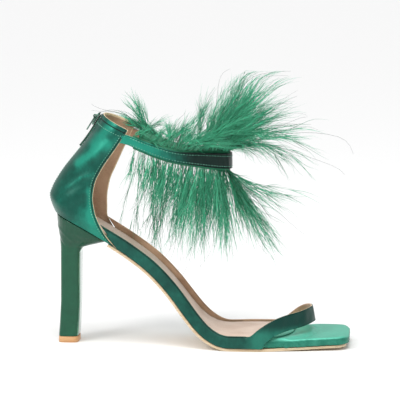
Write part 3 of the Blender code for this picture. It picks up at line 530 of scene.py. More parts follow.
def round_ends(rings):
    """Adds rounded ends to the first and the last loop."""
    def cap(ring, before):
        caps = []
        for turn in END_TURNS:
            loop = []
            for point, other, behind in zip(ring, reversed(ring), before):
                middle, half = (point + other) / 2.0, (point - other) / 2.0
                away = (point - behind).normalized()
                loop.append(middle + half * math.cos(turn)
                            + away * half.length * END_REACH * math.sin(turn))
            caps.append(loop)
        return caps

    return cap(rings[0], rings[1])[::-1] + rings + cap(rings[-1], rings[-2])


def ring_layout(count_v):
    """Which loop positions are the outer face, the upper edge, the inner face and the
    lower edge, as a list of words."""
    words = ["low"] * 4 + ["out"] * (count_v - 2) + ["high"] * 8
    return words + ["in"] * (count_v - 2) + ["low"] * 4


print("a wall has", len(ring_layout(20)), "points round its section at 20 heights")

# %% [markdown]
# ## The heel counter
#
# The counter is a cup of satin round the heel, open in front. Its folds are not random:
# the satin is pulled over a stiff board, so a few long creases run from the back seam to
# the front edge, with soft swells between them. Each crease is one row of a table, placed
# on the side of the shoe, and the wall is lifted or sunk along it.

# %% The counter's shape
# From the seat (0) to the collar (1): the back and front end of each level, its half width
# and its roundness, and how much farther forward its inner side ends, all as shares of the
# seat's width (x and inner), the collar's height (z) or the ankle's width (the other two)
COUNTER = (
    ("level", "back_x", "back_z", "front_x", "front_z", "side", "round", "inner"),
    (0.00, 0.100, 0.000, 1.057, -0.350, 0.478, 0.44, 0.000),
    (0.12, 0.042, 0.088, 0.924, -0.248, 0.494, 0.44, 0.000),
    (0.22, 0.018, 0.168, 0.824, -0.128, 0.500, 0.44, 0.000),
    (0.34, 0.058, 0.253, 0.740, 0.014, 0.500, 0.46, 0.070),
    (0.46, 0.154, 0.364, 0.708, 0.162, 0.492, 0.48, 0.110),
    (0.58, 0.253, 0.461, 0.732, 0.296, 0.486, 0.50, 0.120),
    (0.72, 0.397, 0.586, 0.840, 0.458, 0.486, 0.54, 0.110),
    (0.86, 0.574, 0.735, 1.008, 0.624, 0.492, 0.58, 0.060),
    (1.00, 0.826, 1.000, 1.246, 0.858, 0.500, 0.62, 0.000),
)
SEAT_BACK = 0.018 * SHOE_LENGTH
COUNTER_FOOT = 0.226 * SHOE_LENGTH
SEAT_EDGE = sole_point(SEAT_BACK).z + STACK / sole_normal(SEAT_BACK).z
SEAT_HALF = half_width(COUNTER_FOOT, -1)
COUNTER_LOW = on_sole(COUNTER_FOOT, 0.0, STACK)
levels = {}


def counter_level(v):
    """Back and front ends of a level, its half width and its roundness."""
    key = round(v, 6)
    if key not in levels:
        def value(name):
            return table_value(COUNTER, name, v)
        back = Vector((value("back_x") * SEAT_WIDTH + (SEAT_BACK - 0.1 * SEAT_WIDTH) * (1.0 - v),
                       0.0, SEAT_EDGE + value("back_z") * COLLAR_HEIGHT))
        front = Vector((value("front_x") * SEAT_WIDTH, 0.0,
                        SEAT_EDGE + value("front_z") * COLLAR_HEIGHT))
        foot = Vector((COUNTER[1][3] * SEAT_WIDTH, 0.0,
                       SEAT_EDGE + COUNTER[1][4] * COLLAR_HEIGHT))
        front = front + (COUNTER_LOW - foot) * max(1.0 - v / 0.4, 0.0)
        half = value("side") * ANKLE_WIDTH
        half += (SEAT_HALF - half) * (1.0 - ease(0.0, 0.22, v))
        levels[key] = (back, front, half, value("round"))
    return levels[key]


SEAT_LEVEL = counter_level(0.0)
rests = {}


def seat_rest(x):
    """Height of the outsole's upper side, or of the heel's top, at a place."""
    key = round(x / MM, 1)
    if key not in rests:
        rests[key] = sole_point(key * MM).z + STACK / max(sole_normal(key * MM).z, 0.3)
    return rests[key]


def counter_face(u, v):
    """Outer side of the counter: u from -1 at the outer front edge round the heel to
    +1 at the inner one, v from the seat to the collar."""
    back, front, half, turn = counter_level(v)
    if u > 0.0:
        front = front + (front - back).normalized() * table_value(COUNTER, "inner", v) * SEAT_WIDTH
    depth = (front - back).length
    reach = min(turn * ANKLE_WIDTH, 0.9 * depth)
    bend = reach * 1.25
    run = abs(u) * (depth - reach + bend)
    if run < bend:
        angle = run / bend * math.pi / 2.0
        out = math.sin(angle) ** (2.0 / 2.15) if angle > 0.0 else 0.0
        deep = 1.0 - max(math.cos(angle), 0.0) ** (2.0 / 2.15)
        distance, y = reach * deep, half * out
    else:
        distance, y = reach + run - bend, half
    place = back + (front - back) * (distance / depth)
    below = SEAT_LEVEL[0].lerp(SEAT_LEVEL[1], distance / depth)
    z = place.z + (seat_rest(below.x) - below.z) * (1.0 - ease(0.0, 0.3, v))
    return Vector((place.x, math.copysign(y, u), z))


# Creases of the counter: side, the two ends of each in mm on the side of the shoe, its
# width and how far it stands out (ridge) or sinks (trough)
CREASES = (
    ("side", "x1", "z1", "x2", "z2", "width", "height"),
    (-1, 14, 119, 26, 128, 1.2, 0.30),
    (-1, 26, 128, 38, 132, 1.0, 0.25),
    (-1, 14, 116, 37, 129, 1.8, -0.22),
    (-1, 22, 137, 47, 153, 4.5, 0.55),
    (-1, 26, 131, 50, 148, 3.0, -0.40),
    (-1, 30, 150, 52, 168, 4.0, 0.45),
    (-1, 16, 104, 36, 112, 5.0, -0.45),
    (-1, 26, 86, 48, 98, 5.5, 0.55),
    (-1, 12, 96, 40, 84, 3.5, -0.30),
    (1, 14, 119, 38, 132, 1.4, 0.40),
    (1, 22, 137, 46, 152, 4.0, 0.50),
    (1, 25, 131, 48, 146, 2.6, -0.40),
    (1, 16, 100, 42, 92, 4.0, -0.40),
    (1, 20, 108, 40, 116, 2.2, 0.35),
)


def beside(x, z, x1, z1, x2, z2, width, held_in=False):
    """Share of the way along a drawn line, and the distance from it in its own widths."""
    along = Vector(((x2 - x1) * MM, (z2 - z1) * MM))
    offset = Vector((x - x1 * MM, z - z1 * MM))
    share = offset.dot(along) / along.length_squared
    if held_in:
        share = min(max(share, 0.0), 1.0)
    return share, (offset - along * share).length / (width * MM)


def crease_lift(p):
    """How far the creases lift the satin at a point on the shoe's side."""
    total = 0.0
    for side, x1, z1, x2, z2, width, height in CREASES[1:]:
        if side * p.y >= 4.0 * MM:
            share, away = beside(p.x, p.z, x1, z1, x2, z2, width)
            fade = ease(-0.25, 0.2, share) * (1.0 - ease(0.75, 1.25, share))
            total += height * MM * fade * math.exp(-away * away)
    return total


# Painted highlights of the satin: side, the two ends of each in mm, its width and strength
PAINTED_HIGHLIGHTS = (
    ("side", "x1", "z1", "x2", "z2", "width", "strength"),
    (-1, 24, 139, 46, 155, 3.4, 0.80),
    (-1, 36, 154, 50, 168, 4.0, 0.62),
    (-1, 47, 150, 54, 158, 2.2, 0.30),
    (-1, 15, 120, 26, 128, 1.3, 0.30),
    (-1, 26, 128, 37, 132, 0.9, 0.25),
    (-1, 33, 118, 35, 96, 2.6, 0.55),
    (-1, 32, 102, 42, 82, 5.5, 0.45),
    (-1, 24, 94, 36, 84, 5.0, 0.25),
    (-1, 6, 104, 12, 116, 4.0, 0.15),
    (1, 30, 142, 52, 166, 6.0, 0.60),
    (1, 30, 112, 42, 86, 6.5, 0.60),
    (1, 14, 119, 38, 132, 1.4, 0.50),
)


def sum_of_highlights(p, base):
    """Sum of the painted highlights at a point, over a base."""
    total = base
    for side, x1, z1, x2, z2, width, strength in PAINTED_HIGHLIGHTS[1:]:
        if side * p.y >= 0.0:
            _, away = beside(p.x, p.z, x1, z1, x2, z2, width, True)
            total += strength * math.exp(-away * away) * ease(0.0, 8.0 * MM, abs(p.y))
    return total


def near(value, low, high):
    """1 from low to high and 0 beyond them."""
    return 1.0 if low <= value <= high else 0.0


# %% The counter
edge_us = [1.0, 0.992, 0.984, 0.974, 0.962, 0.95, 0.93]
side_us = spread(-0.90, 0.90, 92)
counter_us = [-u for u in edge_us] + side_us + list(reversed(edge_us))
counter_vs = [0.0, 0.012, 0.03] + spread(0.05, 0.93, 50)
counter_vs += [0.95, 0.964, 0.972, 0.977, 0.982, 0.99, 1.0]


def counter_lift(u, v):
    here = counter_face(u, v)
    groove = 0.22 * MM * near(abs(u), 0.970, 0.986) + 0.10 * MM * near(v, 0.976, 0.978)
    swell = 0.25 * MM * math.sin(here.x * 190.0 + here.z * 90.0) * ease(0.0, 0.1, v)
    return crease_lift(here) + swell * (1.0 - v) - groove


counter_words = ring_layout(len(counter_vs))


def counter_mark(i, k):
    """Finish of each face of the counter: satin, lining, cream edge or sewn groove darkened with
    painted shade.
    """
    word = counter_words[k % len(counter_words)]
    if i < 3 or i >= len(counter_us) + 2:
        return OUTSIDE if word == "out" and i in (2, len(counter_us) + 2) else CUT_EDGE
    if word == "in":
        return INSIDE
    if word == "high" and k >= 4 + len(counter_vs):
        return CUT_EDGE
    at = abs(counter_us[i - 3])
    if word == "out" and (0.970 <= at < 0.990 or near(counter_vs[k - 3], 0.976, 0.978)):
        return SHADED_GROOVE
    return OUTSIDE


rings = round_ends(wall_rings(counter_face, counter_us, counter_vs, UPPER_WALL, -1.0,
                              lift=counter_lift))
counter = skin("heel_counter", rings, (SATIN, LINING, EDGE, SATIN_GROOVE_SHADE), counter_mark)
# Painted highlights on the counter's satin, over a low base level
store_painted_light(counter, lambda p, n: sum_of_highlights(p, 0.12))
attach(counter, "shoe")
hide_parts("back_upper")
print("heel counter:", len(counter.data.polygons), "faces")

# %% [markdown]
# ## The ankle strap
#
# One narrow strap runs from the counter's outer corner round the front of the ankle to the
# inner corner, and falls a little on the way. It is the same wall of lined satin, with a
# sewn groove near both edges; the upper groove is darkened with painted shade.

# %% The ankle strap
ANKLE_FALL = 17.4 * MM
ANKLE_STRAP = 12.0 * MM
ANKLE = (
    ("along", "fall", "width"),
    (0.00, 0.000, 0.600), (0.24, 0.420, 0.680), (0.44, 0.700, 0.700), (0.56, 0.790, 0.740),
    (0.72, 0.860, 0.860), (0.88, 0.940, 0.980), (1.00, 1.000, 1.000),
)
COLLAR_FRONT = counter_level(1.0)[1]
STRAP_ROOT = Vector((COLLAR_FRONT.x - 0.010 * SEAT_WIDTH, 0.0,
                     COLLAR_FRONT.z - 0.100 * COLLAR_HEIGHT))


def ankle_plan(u, inset=0.0):
    """Place along the strap, u from -1 at its outer root by 0 in front to +1."""
    half = ANKLE_WIDTH / 2.0 - (UPPER_WALL - ANKLE_WALL) / 2.0 - inset
    reach = ANKLE_REACH - inset
    side = -1.0 if u < 0.0 else 1.0
    if abs(u) > 1.0:
        return STRAP_ROOT.x - (abs(u) - 1.0) * ANKLE_REACH * 1.4, side * half, 0.0
    angle = abs(u) * math.pi / 2.0
    out = math.sin(angle) ** (2.0 / 2.25) if angle > 0.0 else 0.0
    deep = max(math.cos(angle), 0.0) ** (2.0 / 2.25)
    return STRAP_ROOT.x + reach * deep, side * half * out, deep


def ankle_edges(u):
    share = ankle_plan(u)[2]
    middle = STRAP_ROOT.z - ANKLE_FALL * table_value(ANKLE, "fall", share)
    width = ANKLE_STRAP * table_value(ANKLE, "width", share)
    if abs(u) > 1.0:
        middle += (abs(u) - 1.0) * ANKLE_REACH * 0.30
    return middle - width / 2.0, middle + width / 2.0


def ankle_face(u, v):
    x, y, _ = ankle_plan(u)
    low, high = ankle_edges(u)
    return Vector((x, y, low + (high - low) * v))


def strap_lift(u, v):
    """Soft waves across the strap and two sewn grooves."""
    wave = 0.22 * MM * math.sin(u * 31.0) * math.sin(v * math.pi)
    wave += 0.12 * MM * math.sin(u * 74.0 + 3.0 * v)
    return wave - 0.22 * MM * (near(v, 0.84, 0.90) or near(v, 0.07, 0.12))


strap_us = spread(-1.05, 1.05, 150)
strap_vs = [0.0, 0.03, 0.06, 0.09, 0.12, 0.18] + spread(0.24, 0.74, 6)
strap_vs += [0.79, 0.83, 0.86, 0.89, 0.92, 0.96, 1.0]
strap_words = ring_layout(len(strap_vs))


def strap_mark(i, k):
    word = strap_words[k % len(strap_words)]
    if word in ("in", "high", "low") and k > 4 + len(strap_vs) + 2:
        return INSIDE
    if word == "out" and near(strap_vs[k - 3], 0.845, 0.895):
        return SHADED_GROOVE
    return OUTSIDE


strap = skin("ankle_strap",
             round_ends(wall_rings(ankle_face, strap_us, strap_vs, ANKLE_WALL, 1.0,
                                   lift=strap_lift, step=0.02)),
             (SATIN_STRAP, LINING, EDGE, SATIN_GROOVE_SHADE), strap_mark)


def strap_highlight_and_shade(p, n):
    """Painted highlight on the strap near the counter and painted shade round the front."""
    share = (p.x - STRAP_ROOT.x) / ANKLE_REACH
    return (1.0 - ease(0.05, 0.75, share)) * 0.95 - 0.30 * ease(0.5, 0.9, share)


store_painted_light(strap, strap_highlight_and_shade)
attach(strap, "shoe")
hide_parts("back_upper")
print("ankle strap:", len(strap.data.polygons), "faces")

# %% [markdown]
# ## Side bands and toe strap
#
# A low band of satin stands up along each side of the footbed, and the toe strap grows out
# of the two bands. The strap is lasted over the ends of the bands, so a slanting step shows
# where it begins. All of it is one wall between a lower and an upper line.

# %% The front upper
SIDE_BAND = 9.4 * MM
TOE_STRAP_HEIGHT = 29.2 * MM
TOE_STRAP_WIDTH = 11.6 * MM
BAND_BACK = COUNTER_FOOT + 0.75 * UPPER_WALL
BAND_FAN = 0.30 * SHOE_LENGTH
STRAP_BASE = {-1: 0.677 * SHOE_LENGTH, 1: 0.768 * SHOE_LENGTH}
BASE_FOOT = {-1: 0.716 * SHOE_LENGTH, 1: 0.808 * SHOE_LENGTH}
STRAP_OUTER = (
    ("step", "along", "out", "up", "lean", "foot"),
    (1.0, 0.702, 1.000, 0.560, 60.0, 1.000), (2.0, 0.728, 0.990, 0.700, 72.0, 1.000),
    (3.0, 0.762, 0.925, 0.832, 83.0, 0.955), (4.0, 0.800, 0.775, 0.912, 84.0, 0.800),
    (5.0, 0.837, 0.560, 0.955, 80.0, 0.585), (6.0, 0.864, 0.270, 0.992, 79.0, 0.285),
    (7.0, 0.875, 0.000, 1.000, 79.0, 0.000),
)
STRAP_INNER = (
    ("step", "along", "out", "up", "lean", "foot"),
    (1.0, 0.783, 1.000, 0.500, 54.0, 1.000), (2.0, 0.801, 0.985, 0.620, 61.0, 1.000),
    (3.0, 0.822, 0.925, 0.760, 66.0, 0.955), (4.0, 0.845, 0.790, 0.880, 70.0, 0.820),
    (5.0, 0.862, 0.570, 0.950, 74.0, 0.600), (6.0, 0.872, 0.280, 0.990, 78.0, 0.295),
    (7.0, 0.875, 0.000, 1.000, 79.0, 0.000),
)


def counter_front_x(z):
    fronts = [counter_level(k / 60)[1] for k in range(31)]
    for below, above in zip(fronts, fronts[1:]):
        if below.z <= z <= above.z:
            return below.x + (above.x - below.x) * (z - below.z) / (above.z - below.z)
    return fronts[0].x


def band_top_back():
    """Where the band's upper edge begins, just in front of the counter."""
    x = 0.5 * BAND_BACK
    while x < BAND_BACK:
        top = on_sole(x, 0.0, STACK + SIDE_BAND)
        if top.x >= counter_front_x(top.z) + 0.3 * MM + 0.3 * UPPER_WALL:
            return x
        x += 0.001 * SHOE_LENGTH
    return x


def band_edges(side):
    """Pairs of lower and upper points from the counter to the toe strap's middle."""
    pairs = []
    corner, foot = STRAP_BASE[side], BASE_FOOT[side]
    lows = spread(BAND_BACK, BAND_FAN, 5)
    highs = spread(band_top_back(), BAND_FAN, 5)
    places = list(zip(lows[:-1], highs[:-1]))
    places += [(x, x) for x in spread(BAND_FAN, corner - 0.06 * SHOE_LENGTH, 13)]
    for share in (0.35, 0.7, 1.0):
        high = corner - 0.06 * SHOE_LENGTH * (1.0 - share)
        places.append((high + (foot - corner) * share ** 1.4, high))
    for low, high in places:
        pairs.append((on_sole(low, side * half_width(low, side), STACK),
                      on_sole(high, side * half_width(high, side), STACK + SIDE_BAND)))
    rows = STRAP_OUTER if side < 0 else STRAP_INNER
    for step in spread(1.0, 7.0, 12):
        x = table_value(rows, "along", step) * SHOE_LENGTH
        z = table_value(rows, "up", step) * TOE_STRAP_HEIGHT
        lean = math.radians(table_value(rows, "lean", step))
        y = side * half_width(x, side) * table_value(rows, "out", step)
        low_x = x + TOE_STRAP_WIDTH * math.cos(lean)
        low_y = side * half_width(low_x, side) * table_value(rows, "foot", step)
        pairs.append((Vector((low_x, low_y, z - TOE_STRAP_WIDTH * math.sin(lean))),
                      Vector((x, y, z))))
    return pairs


outer_pairs = band_edges(-1)
band_pairs = outer_pairs + list(reversed(band_edges(1)[:-1]))


def smooth_pair(place, which):
    """Point of the lower (0) or upper (1) line, on a curve through its points."""
    i = min(max(int(place), 0), len(band_pairs) - 2)
    t = place - i
    points = [band_pairs[min(max(i + j, 0), len(band_pairs) - 1)][which] for j in (-1, 0, 1, 2)]
    a, b, c, d = points
    return 0.5 * ((2.0 * b) + (c - a) * t + (2.0 * a - 5.0 * b + 4.0 * c - d) * t * t
                  + (3.0 * b - a - 3.0 * c + d) * t ** 3)


def band_face(u, v):
    place = min(max(u, 0.0), 1.0) * (len(band_pairs) - 1)
    low, high = smooth_pair(place, 0), smooth_pair(place, 1)
    return low.lerp(high, v)


# Where the toe strap begins, on each side: the lower and the upper end of its edge
STRAP_STEP = {-1: ((144.0, 0.0), (151.5, 9.0)), 1: ((166.0, 0.0), (172.0, 9.0))}


def band_lift(u, v):
    here = band_face(u, v)
    (x1, z1), (x2, z2) = STRAP_STEP[-1 if here.y < 0.0 else 1]
    ahead = (here.x / MM - x1) - (here.z / MM - z1) * (x2 - x1) / (z2 - z1)
    groove = 0.25 * MM * near(v, 0.86, 0.92)
    wave = 0.10 * MM * math.sin(here.x * 260.0) * math.sin(v * math.pi)
    strap = ease(-0.3, 0.5, ahead)
    wave += strap * 0.25 * MM * math.sin(here.x * 420.0 + here.y * 300.0) * math.sin(v * math.pi)
    return strap * 0.35 * MM - groove * (1.0 - strap) + wave


band_us = spread(0.0, 1.0, 330)
band_vs = [0.0, 0.04, 0.08] + spread(0.14, 0.80, 9) + [0.84, 0.87, 0.90, 0.93, 0.965, 1.0]
band_words = ring_layout(len(band_vs))


def band_mark(i, k):
    word = band_words[k % len(band_words)]
    if word in ("in", "high", "low") and k > 4 + len(band_vs) + 1:
        return INSIDE
    if word == "high" and k == 4 + len(band_vs) + 1:
        return CUT_EDGE
    if word == "out" and near(band_vs[k - 3], 0.865, 0.905):
        here = band_face(band_us[min(max(i - 3, 0), len(band_us) - 1)], 0.5)
        strap_begins = STRAP_STEP[-1 if here.y < 0.0 else 1][1][0] * MM
        return SHADED_GROOVE if here.x < strap_begins else OUTSIDE
    return OUTSIDE


front = skin("side_bands_and_toe_strap",
             round_ends(wall_rings(band_face, band_us, band_vs, UPPER_WALL, 1.0,
                                   lift=band_lift, rise=0.2, step=0.004)),
             (SATIN_BAND, LINING, EDGE, SATIN_GROOVE_SHADE), band_mark)


def front_highlight_and_shade(p, n):
    """Painted light: one level on the bands, a painted highlight at the toe strap's base and
    painted shade toward its top.
    """
    base = ease(0.655 * SHOE_LENGTH, 0.70 * SHOE_LENGTH, p.x)
    apex = ease(12.0 * MM, 22.0 * MM, p.z)
    return 0.30 + base * (0.44 - 0.86 * apex)


store_painted_light(front, front_highlight_and_shade)
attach(front, "shoe")
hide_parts("front_upper")
print("side bands and toe strap:", len(front.data.polygons), "faces")

# %% [markdown]
# ## Padded toe, heel and sock
#
# The platform and the heel are boards wrapped in satin, so their edges are round and their
# cloth lies in small puckers. Their solids already have the right shape. A copy of each is
# remeshed into small even faces, smoothed a little, and then its points are moved along
# their normals for the creases. A subdivision surface would also round the edges, but it
# needs an even mesh to begin with.


# %% Wrapped solids
def solid_copy(name, node):
    """A copy of a solid, and its mesh opened for editing with the faces' corners joined."""
    made = bpy.data.objects.new(name, nodes[node].data.copy())
    scene.collection.objects.link(made)
    bm = bmesh.new()
    bm.from_mesh(made.data)
    bmesh.ops.remove_doubles(bm, verts=bm.verts, dist=1e-6)
    return made, bm


def wrapped(name, node, voxel, smooth, paint, lift=None):
    """A fine copy of a solid with softly rounded edges. lift(point, normal) moves it."""
    made, bm = solid_copy(name, node)
    bm.to_mesh(made.data)
    bm.free()
    remesh = made.modifiers.new("even_faces", "REMESH")
    remesh.mode = "VOXEL"
    remesh.voxel_size = voxel
    relax = made.modifiers.new("relax", "SMOOTH")
    relax.factor = 0.5
    relax.iterations = smooth
    mesh = bpy.data.meshes.new_from_object(
        made.evaluated_get(bpy.context.evaluated_depsgraph_get()))
    made.modifiers.clear()
    made.data = mesh
    mesh.name = name
    if lift:
        moved = [v.co + v.normal * lift(v.co, v.normal) for v in mesh.vertices]
        for vert, place in zip(mesh.vertices, moved):
            vert.co = place
    mesh.materials.clear()
    mesh.materials.append(paint)
    mesh.polygons.foreach_set("use_smooth", [True] * len(mesh.polygons))
    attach(made, "shoe")
    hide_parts(node)
    print(name + ":", len(mesh.polygons), "faces")
    return made


PAD_BACK = 0.70 * SHOE_LENGTH
PAD_FRONT = 0.892 * SHOE_LENGTH
# The strip on the heel's flat front side, under the arch: real gloss, and a paler green that
# is a painted reflection of the bright studio
BREAST_TOP = 74.0 * MM
BREAST_FACING = 0.8
# The slanted line under the toe strap where the tan sock ends and the satin begins
SOCK_FRONT = Vector((171.0 * MM - ORIGIN, 0.0, 0.0))
SOCK_FACING = Vector((0.956, -0.292, 0.0))


def toe_lift(place, normal):
    """The crease round the pad's front and the small puckers at the toe's sides."""
    x, y = place.x + ORIGIN, place.y
    if x < PAD_BACK:
        return 0.0
    total = 0.0
    side = half_width(PAD_BACK, -1 if y < 0.0 else 1) * 1.02
    ring = (((x - PAD_BACK) / (PAD_FRONT - PAD_BACK)) ** 2.0 + (abs(y) / side) ** 2.6) ** 0.5
    top = ease(0.35, 0.85, normal.z)
    inside = 1.0 - ease(0.84, 0.96, abs(y) / half_width(x, -1 if y < 0.0 else 1))
    total -= top * inside * 0.70 * MM * math.exp(-((ring - 1.0) / 0.026) ** 2)
    total += top * inside * 0.25 * MM * math.exp(-((ring - 0.92) / 0.06) ** 2)
    total += top * 0.10 * MM * math.sin(x * 160.0 + y * 60.0) * math.sin(y * 110.0 + 1.0)
    fold = math.sin((x - y) * 1100.0) * math.sin((x + y) * 370.0)
    low = 1.0 - ease(4.0 * MM, 9.0 * MM, place.z)
    total += (1.0 - top) * low * 0.24 * MM * fold
    return total


def heel_lift(place, normal):
    """Two folds where the satin goes round under the seat, and a fine back seam."""
    x, z = place.x + ORIGIN, place.z
    fold = math.exp(-(((z - 84.0 * MM) + (x - 14.0 * MM) * 0.9) / (1.5 * MM)) ** 2)
    fold *= 1.0 - ease(17.0 * MM, 22.0 * MM, x)
    second = math.exp(-(((z - 79.0 * MM) + (x - 10.0 * MM) * 1.6) / (1.2 * MM)) ** 2)
    second *= 1.0 - ease(12.0 * MM, 15.0 * MM, x)
    seam = math.exp(-(place.y / (0.35 * MM)) ** 2) * (1.0 if normal.x > 0.6 else 0.0)
    return 0.28 * MM * fold - 0.30 * MM * second - 0.25 * MM * seam


# %% Platform and heel
platform = wrapped("padded_platform", "platform", 0.75 * MM, 3, SATIN_TOE, toe_lift)
# Painted light: the padded satin is lighter where it faces up, toward the light
store_painted_light(platform, lambda p, n: 0.2 + 0.65 * ease(0.2, 0.9, n.z))
heel = wrapped("wrapped_heel", "heel_block", 0.55 * MM, 3, SATIN_HEEL, heel_lift)
# Painted shade: the heel's flaring top block is darker than its column
store_painted_light(heel, lambda p, n: 0.45 - 0.32 * ease(74.0 * MM, 80.0 * MM, p.z))
heel.data.materials.append(BREAST_GLOSS_AND_PAINTED_REFLECTION)
for polygon in heel.data.polygons:
    if polygon.normal.x > BREAST_FACING and polygon.center.z < BREAST_TOP:
        polygon.material_index = 1


# %% Sock, sole and lift
def fitted(name, node, paint, bevel):
    """A copy of a solid with small rounded edges and smooth faces."""
    made, bm = solid_copy(name, node)
    bmesh.ops.dissolve_limit(bm, angle_limit=math.radians(0.5), verts=bm.verts, edges=bm.edges)
    bmesh.ops.triangulate(bm, faces=bm.faces)
    sharp = [e for e in bm.edges if e.is_manifold and e.calc_face_angle() > math.radians(40)]
    bmesh.ops.bevel(bm, geom=sharp, offset=bevel, offset_type="OFFSET", segments=2,
                    profile=0.5, affect="EDGES", clamp_overlap=True)
    for face in bm.faces:
        face.smooth = True
    for edge in bm.edges:
        edge.smooth = not (edge.is_manifold and edge.calc_face_angle() > math.radians(50))
    bm.to_mesh(made.data)
    bm.free()
    if "custom_normal" in made.data.attributes:
        made.data.attributes.remove(made.data.attributes["custom_normal"])
    made.data.materials.clear()
    made.data.materials.append(paint)
    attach(made, "zip_pull" if node == "zip_pull" else "shoe")
    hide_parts(node)
    print(name + ":", len(made.data.polygons), "faces")
    return made


def cover_front(made, place, normal, paint):
    """Gives the part of a piece in front of a slanted plane another finish."""
    bm = bmesh.new()
    bm.from_mesh(made.data)
    bmesh.ops.bisect_plane(bm, geom=bm.verts[:] + bm.edges[:] + bm.faces[:],
                           plane_co=place, plane_no=normal)
    for face in bm.faces:
        face.material_index = int((face.calc_center_median() - place).dot(normal) > 0.0)
    bm.to_mesh(made.data)
    bm.free()
    made.data.materials.append(paint)


footbed = fitted("tan_footbed", "footbed", SOCK, 0.25 * MM)
cover_front(footbed, SOCK_FRONT, SOCK_FACING, SATIN_TOE)
# Painted light: the satin at the sock's front is lighter where it faces up
store_painted_light(footbed, lambda p, n: 0.45 + 0.25 * ease(0.2, 0.9, n.z))
fitted("tan_outsole", "outsole", SOLE, 0.3 * MM)
fitted("heel_tip", "top_lift", LIFT, 0.3 * MM)

# %% [markdown]
# ## Zip
#
# The zip at the back of the counter has metal teeth on a woven tape. At this scale each
# tooth is about a millimetre, which is still seen as a fine ladder, so every tooth is a
# small block with soft edges. The slider and its pull are painted metal.


# %% Zip finishes
def metal(name, deep, bright, rough):
    material, place, link = new_finish(name, rough, Metallic=0.85, Coat_Weight=0.3,
                                       Coat_Roughness=0.2)
    wear = noise(place, 420.0, 4.0)
    fine = noise(place, 2600.0, 2.0)
    link(Base_Color=wear.between(0.35, 0.75).mix(deep, bright),
         Roughness=rough - 0.08 + fine * 0.16,
         Normal=bump(wear * 0.6 + fine * 0.4, 0.00006))
    return material


def tape(name, deep, bright):
    material, place, link = new_finish(name, 0.8, Sheen_Weight=0.3)
    ribs = place.node("TexWave", {"bands_direction": "Y"},
                      {"Vector": place, "Scale": 260.0, "Distortion": 1.5, "Detail": 2.0})
    fine = noise(place, 1500.0, 2.0)
    link(Base_Color=(ribs * 0.5 + fine * 0.5).between(0.2, 0.8).mix(deep, bright),
         Roughness=0.7 + fine * 0.2,
         Normal=bump(ribs * 0.6 + fine * 0.4, 0.00015))
    return material


METAL = metal("green_metal", colour(34, 74, 60), colour(120, 164, 142), 0.28)
TEETH = metal("green_teeth", colour(30, 62, 50), colour(96, 128, 110), 0.38)
TAPE = tape("green_tape", colour(14, 52, 40), colour(34, 96, 74))
THREAD = tape("green_thread", colour(62, 142, 115), colour(108, 180, 154))
BLOCK_CUT = 0.22              # width of a tooth's cut edges, as a share of its least size


def back_frame(v):
    here = counter_face(0.0, v)
    up = (counter_face(0.0, min(v + 0.02, 1.0)) - counter_face(0.0, v - 0.02)).normalized()
    return here, up, Vector((-up.z, 0.0, up.x))


def blocks(name, frames, size, paint):
    """Small blocks with cut edges, all in one mesh. Each frame is a centre and the
    directions across, along and out."""
    bm = bmesh.new()
    for centre, across, along, out in frames:
        for vert in bmesh.ops.create_cube(bm, size=1.0)["verts"]:
            vert.co = (centre + across * vert.co.x * size[0] + along * vert.co.y * size[1]
                       + out * vert.co.z * size[2])
    bmesh.ops.bevel(bm, geom=bm.edges[:], offset=BLOCK_CUT * min(size),
                    offset_type="OFFSET", segments=1, profile=0.5, affect="EDGES")
    bm.verts.ensure_lookup_table()
    verts = [tuple(v.co) for v in bm.verts]
    faces = [tuple(v.index for v in f.verts) for f in bm.faces]
    bm.free()
    return piece(name, verts, faces, (paint,))


# %% Teeth and tape
ZIP_LOW, ZIP_HIGH = 0.790, 0.990
ZIP_TEETH = 48
TOOTH_SIZE = (2.7 * MM, 0.56 * MM, 1.0 * MM)
TOOTH_OUT = 1.15 * MM
TOOTH_SIDE = 0.75 * MM
# Section of the tape, in mm: place across it and height over the satin
TAPE_SECTION = ((-3.2, 0.3), (-3.2, 0.6), (-2.9, 0.72), (-1.6, 0.78), (1.6, 0.78),
                (2.9, 0.72), (3.2, 0.6), (3.2, 0.3))
side_teeth = []
across = Vector((0.0, 1.0, 0.0))
for k in range(ZIP_TEETH):
    v = ZIP_LOW + 0.004 + (ZIP_HIGH - 0.01 - ZIP_LOW) * (k + 0.5) / ZIP_TEETH
    here, up, out = back_frame(v)
    side = 1.0 if k % 2 else -1.0
    side_teeth.append((here + out * TOOTH_OUT + across * side * TOOTH_SIDE, across, up, out))
teeth = blocks("zip_teeth", side_teeth, TOOTH_SIZE, TEETH)
tape_rings = []
for v in spread(ZIP_LOW, ZIP_HIGH, 24):
    here, up, out = back_frame(v)
    tape_rings.append([here + out * rise * MM + Vector((0.0, y * MM, 0.0))
                       for y, rise in TAPE_SECTION])
zip_tape = skin("zip_tape", tape_rings, (TAPE,), lambda i, k: 0)
for made in (teeth, zip_tape):
    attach(made, "shoe")
    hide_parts("zip_chain")
fitted("slider", "zip_slider", METAL, 0.12 * MM)
fitted("pull_tab", "zip_pull", METAL, 0.12 * MM)
print("teeth:", len(side_teeth))

# %% [markdown]
# ## Stitches
#
# Rows of stitches hold the folded edges. A line in the finish would do from far away, but
# close up each stitch is a short round thread that lies on the satin with its ends sunk
# in, so each one is made as a small spindle.


# %% Stitches
STITCH_SHARE = 0.62           # length of a stitch, as a share of the pitch
STITCH_THICK = 0.27 * MM
# Rings of a stitch: place along it as a share of its length, width and height as shares
# of its thickness
STITCH_RINGS = ((-0.36, 0.75, 0.05), (0.0, 1.0, 0.25), (0.36, 0.75, 0.05))
STITCH_SIDES = 5


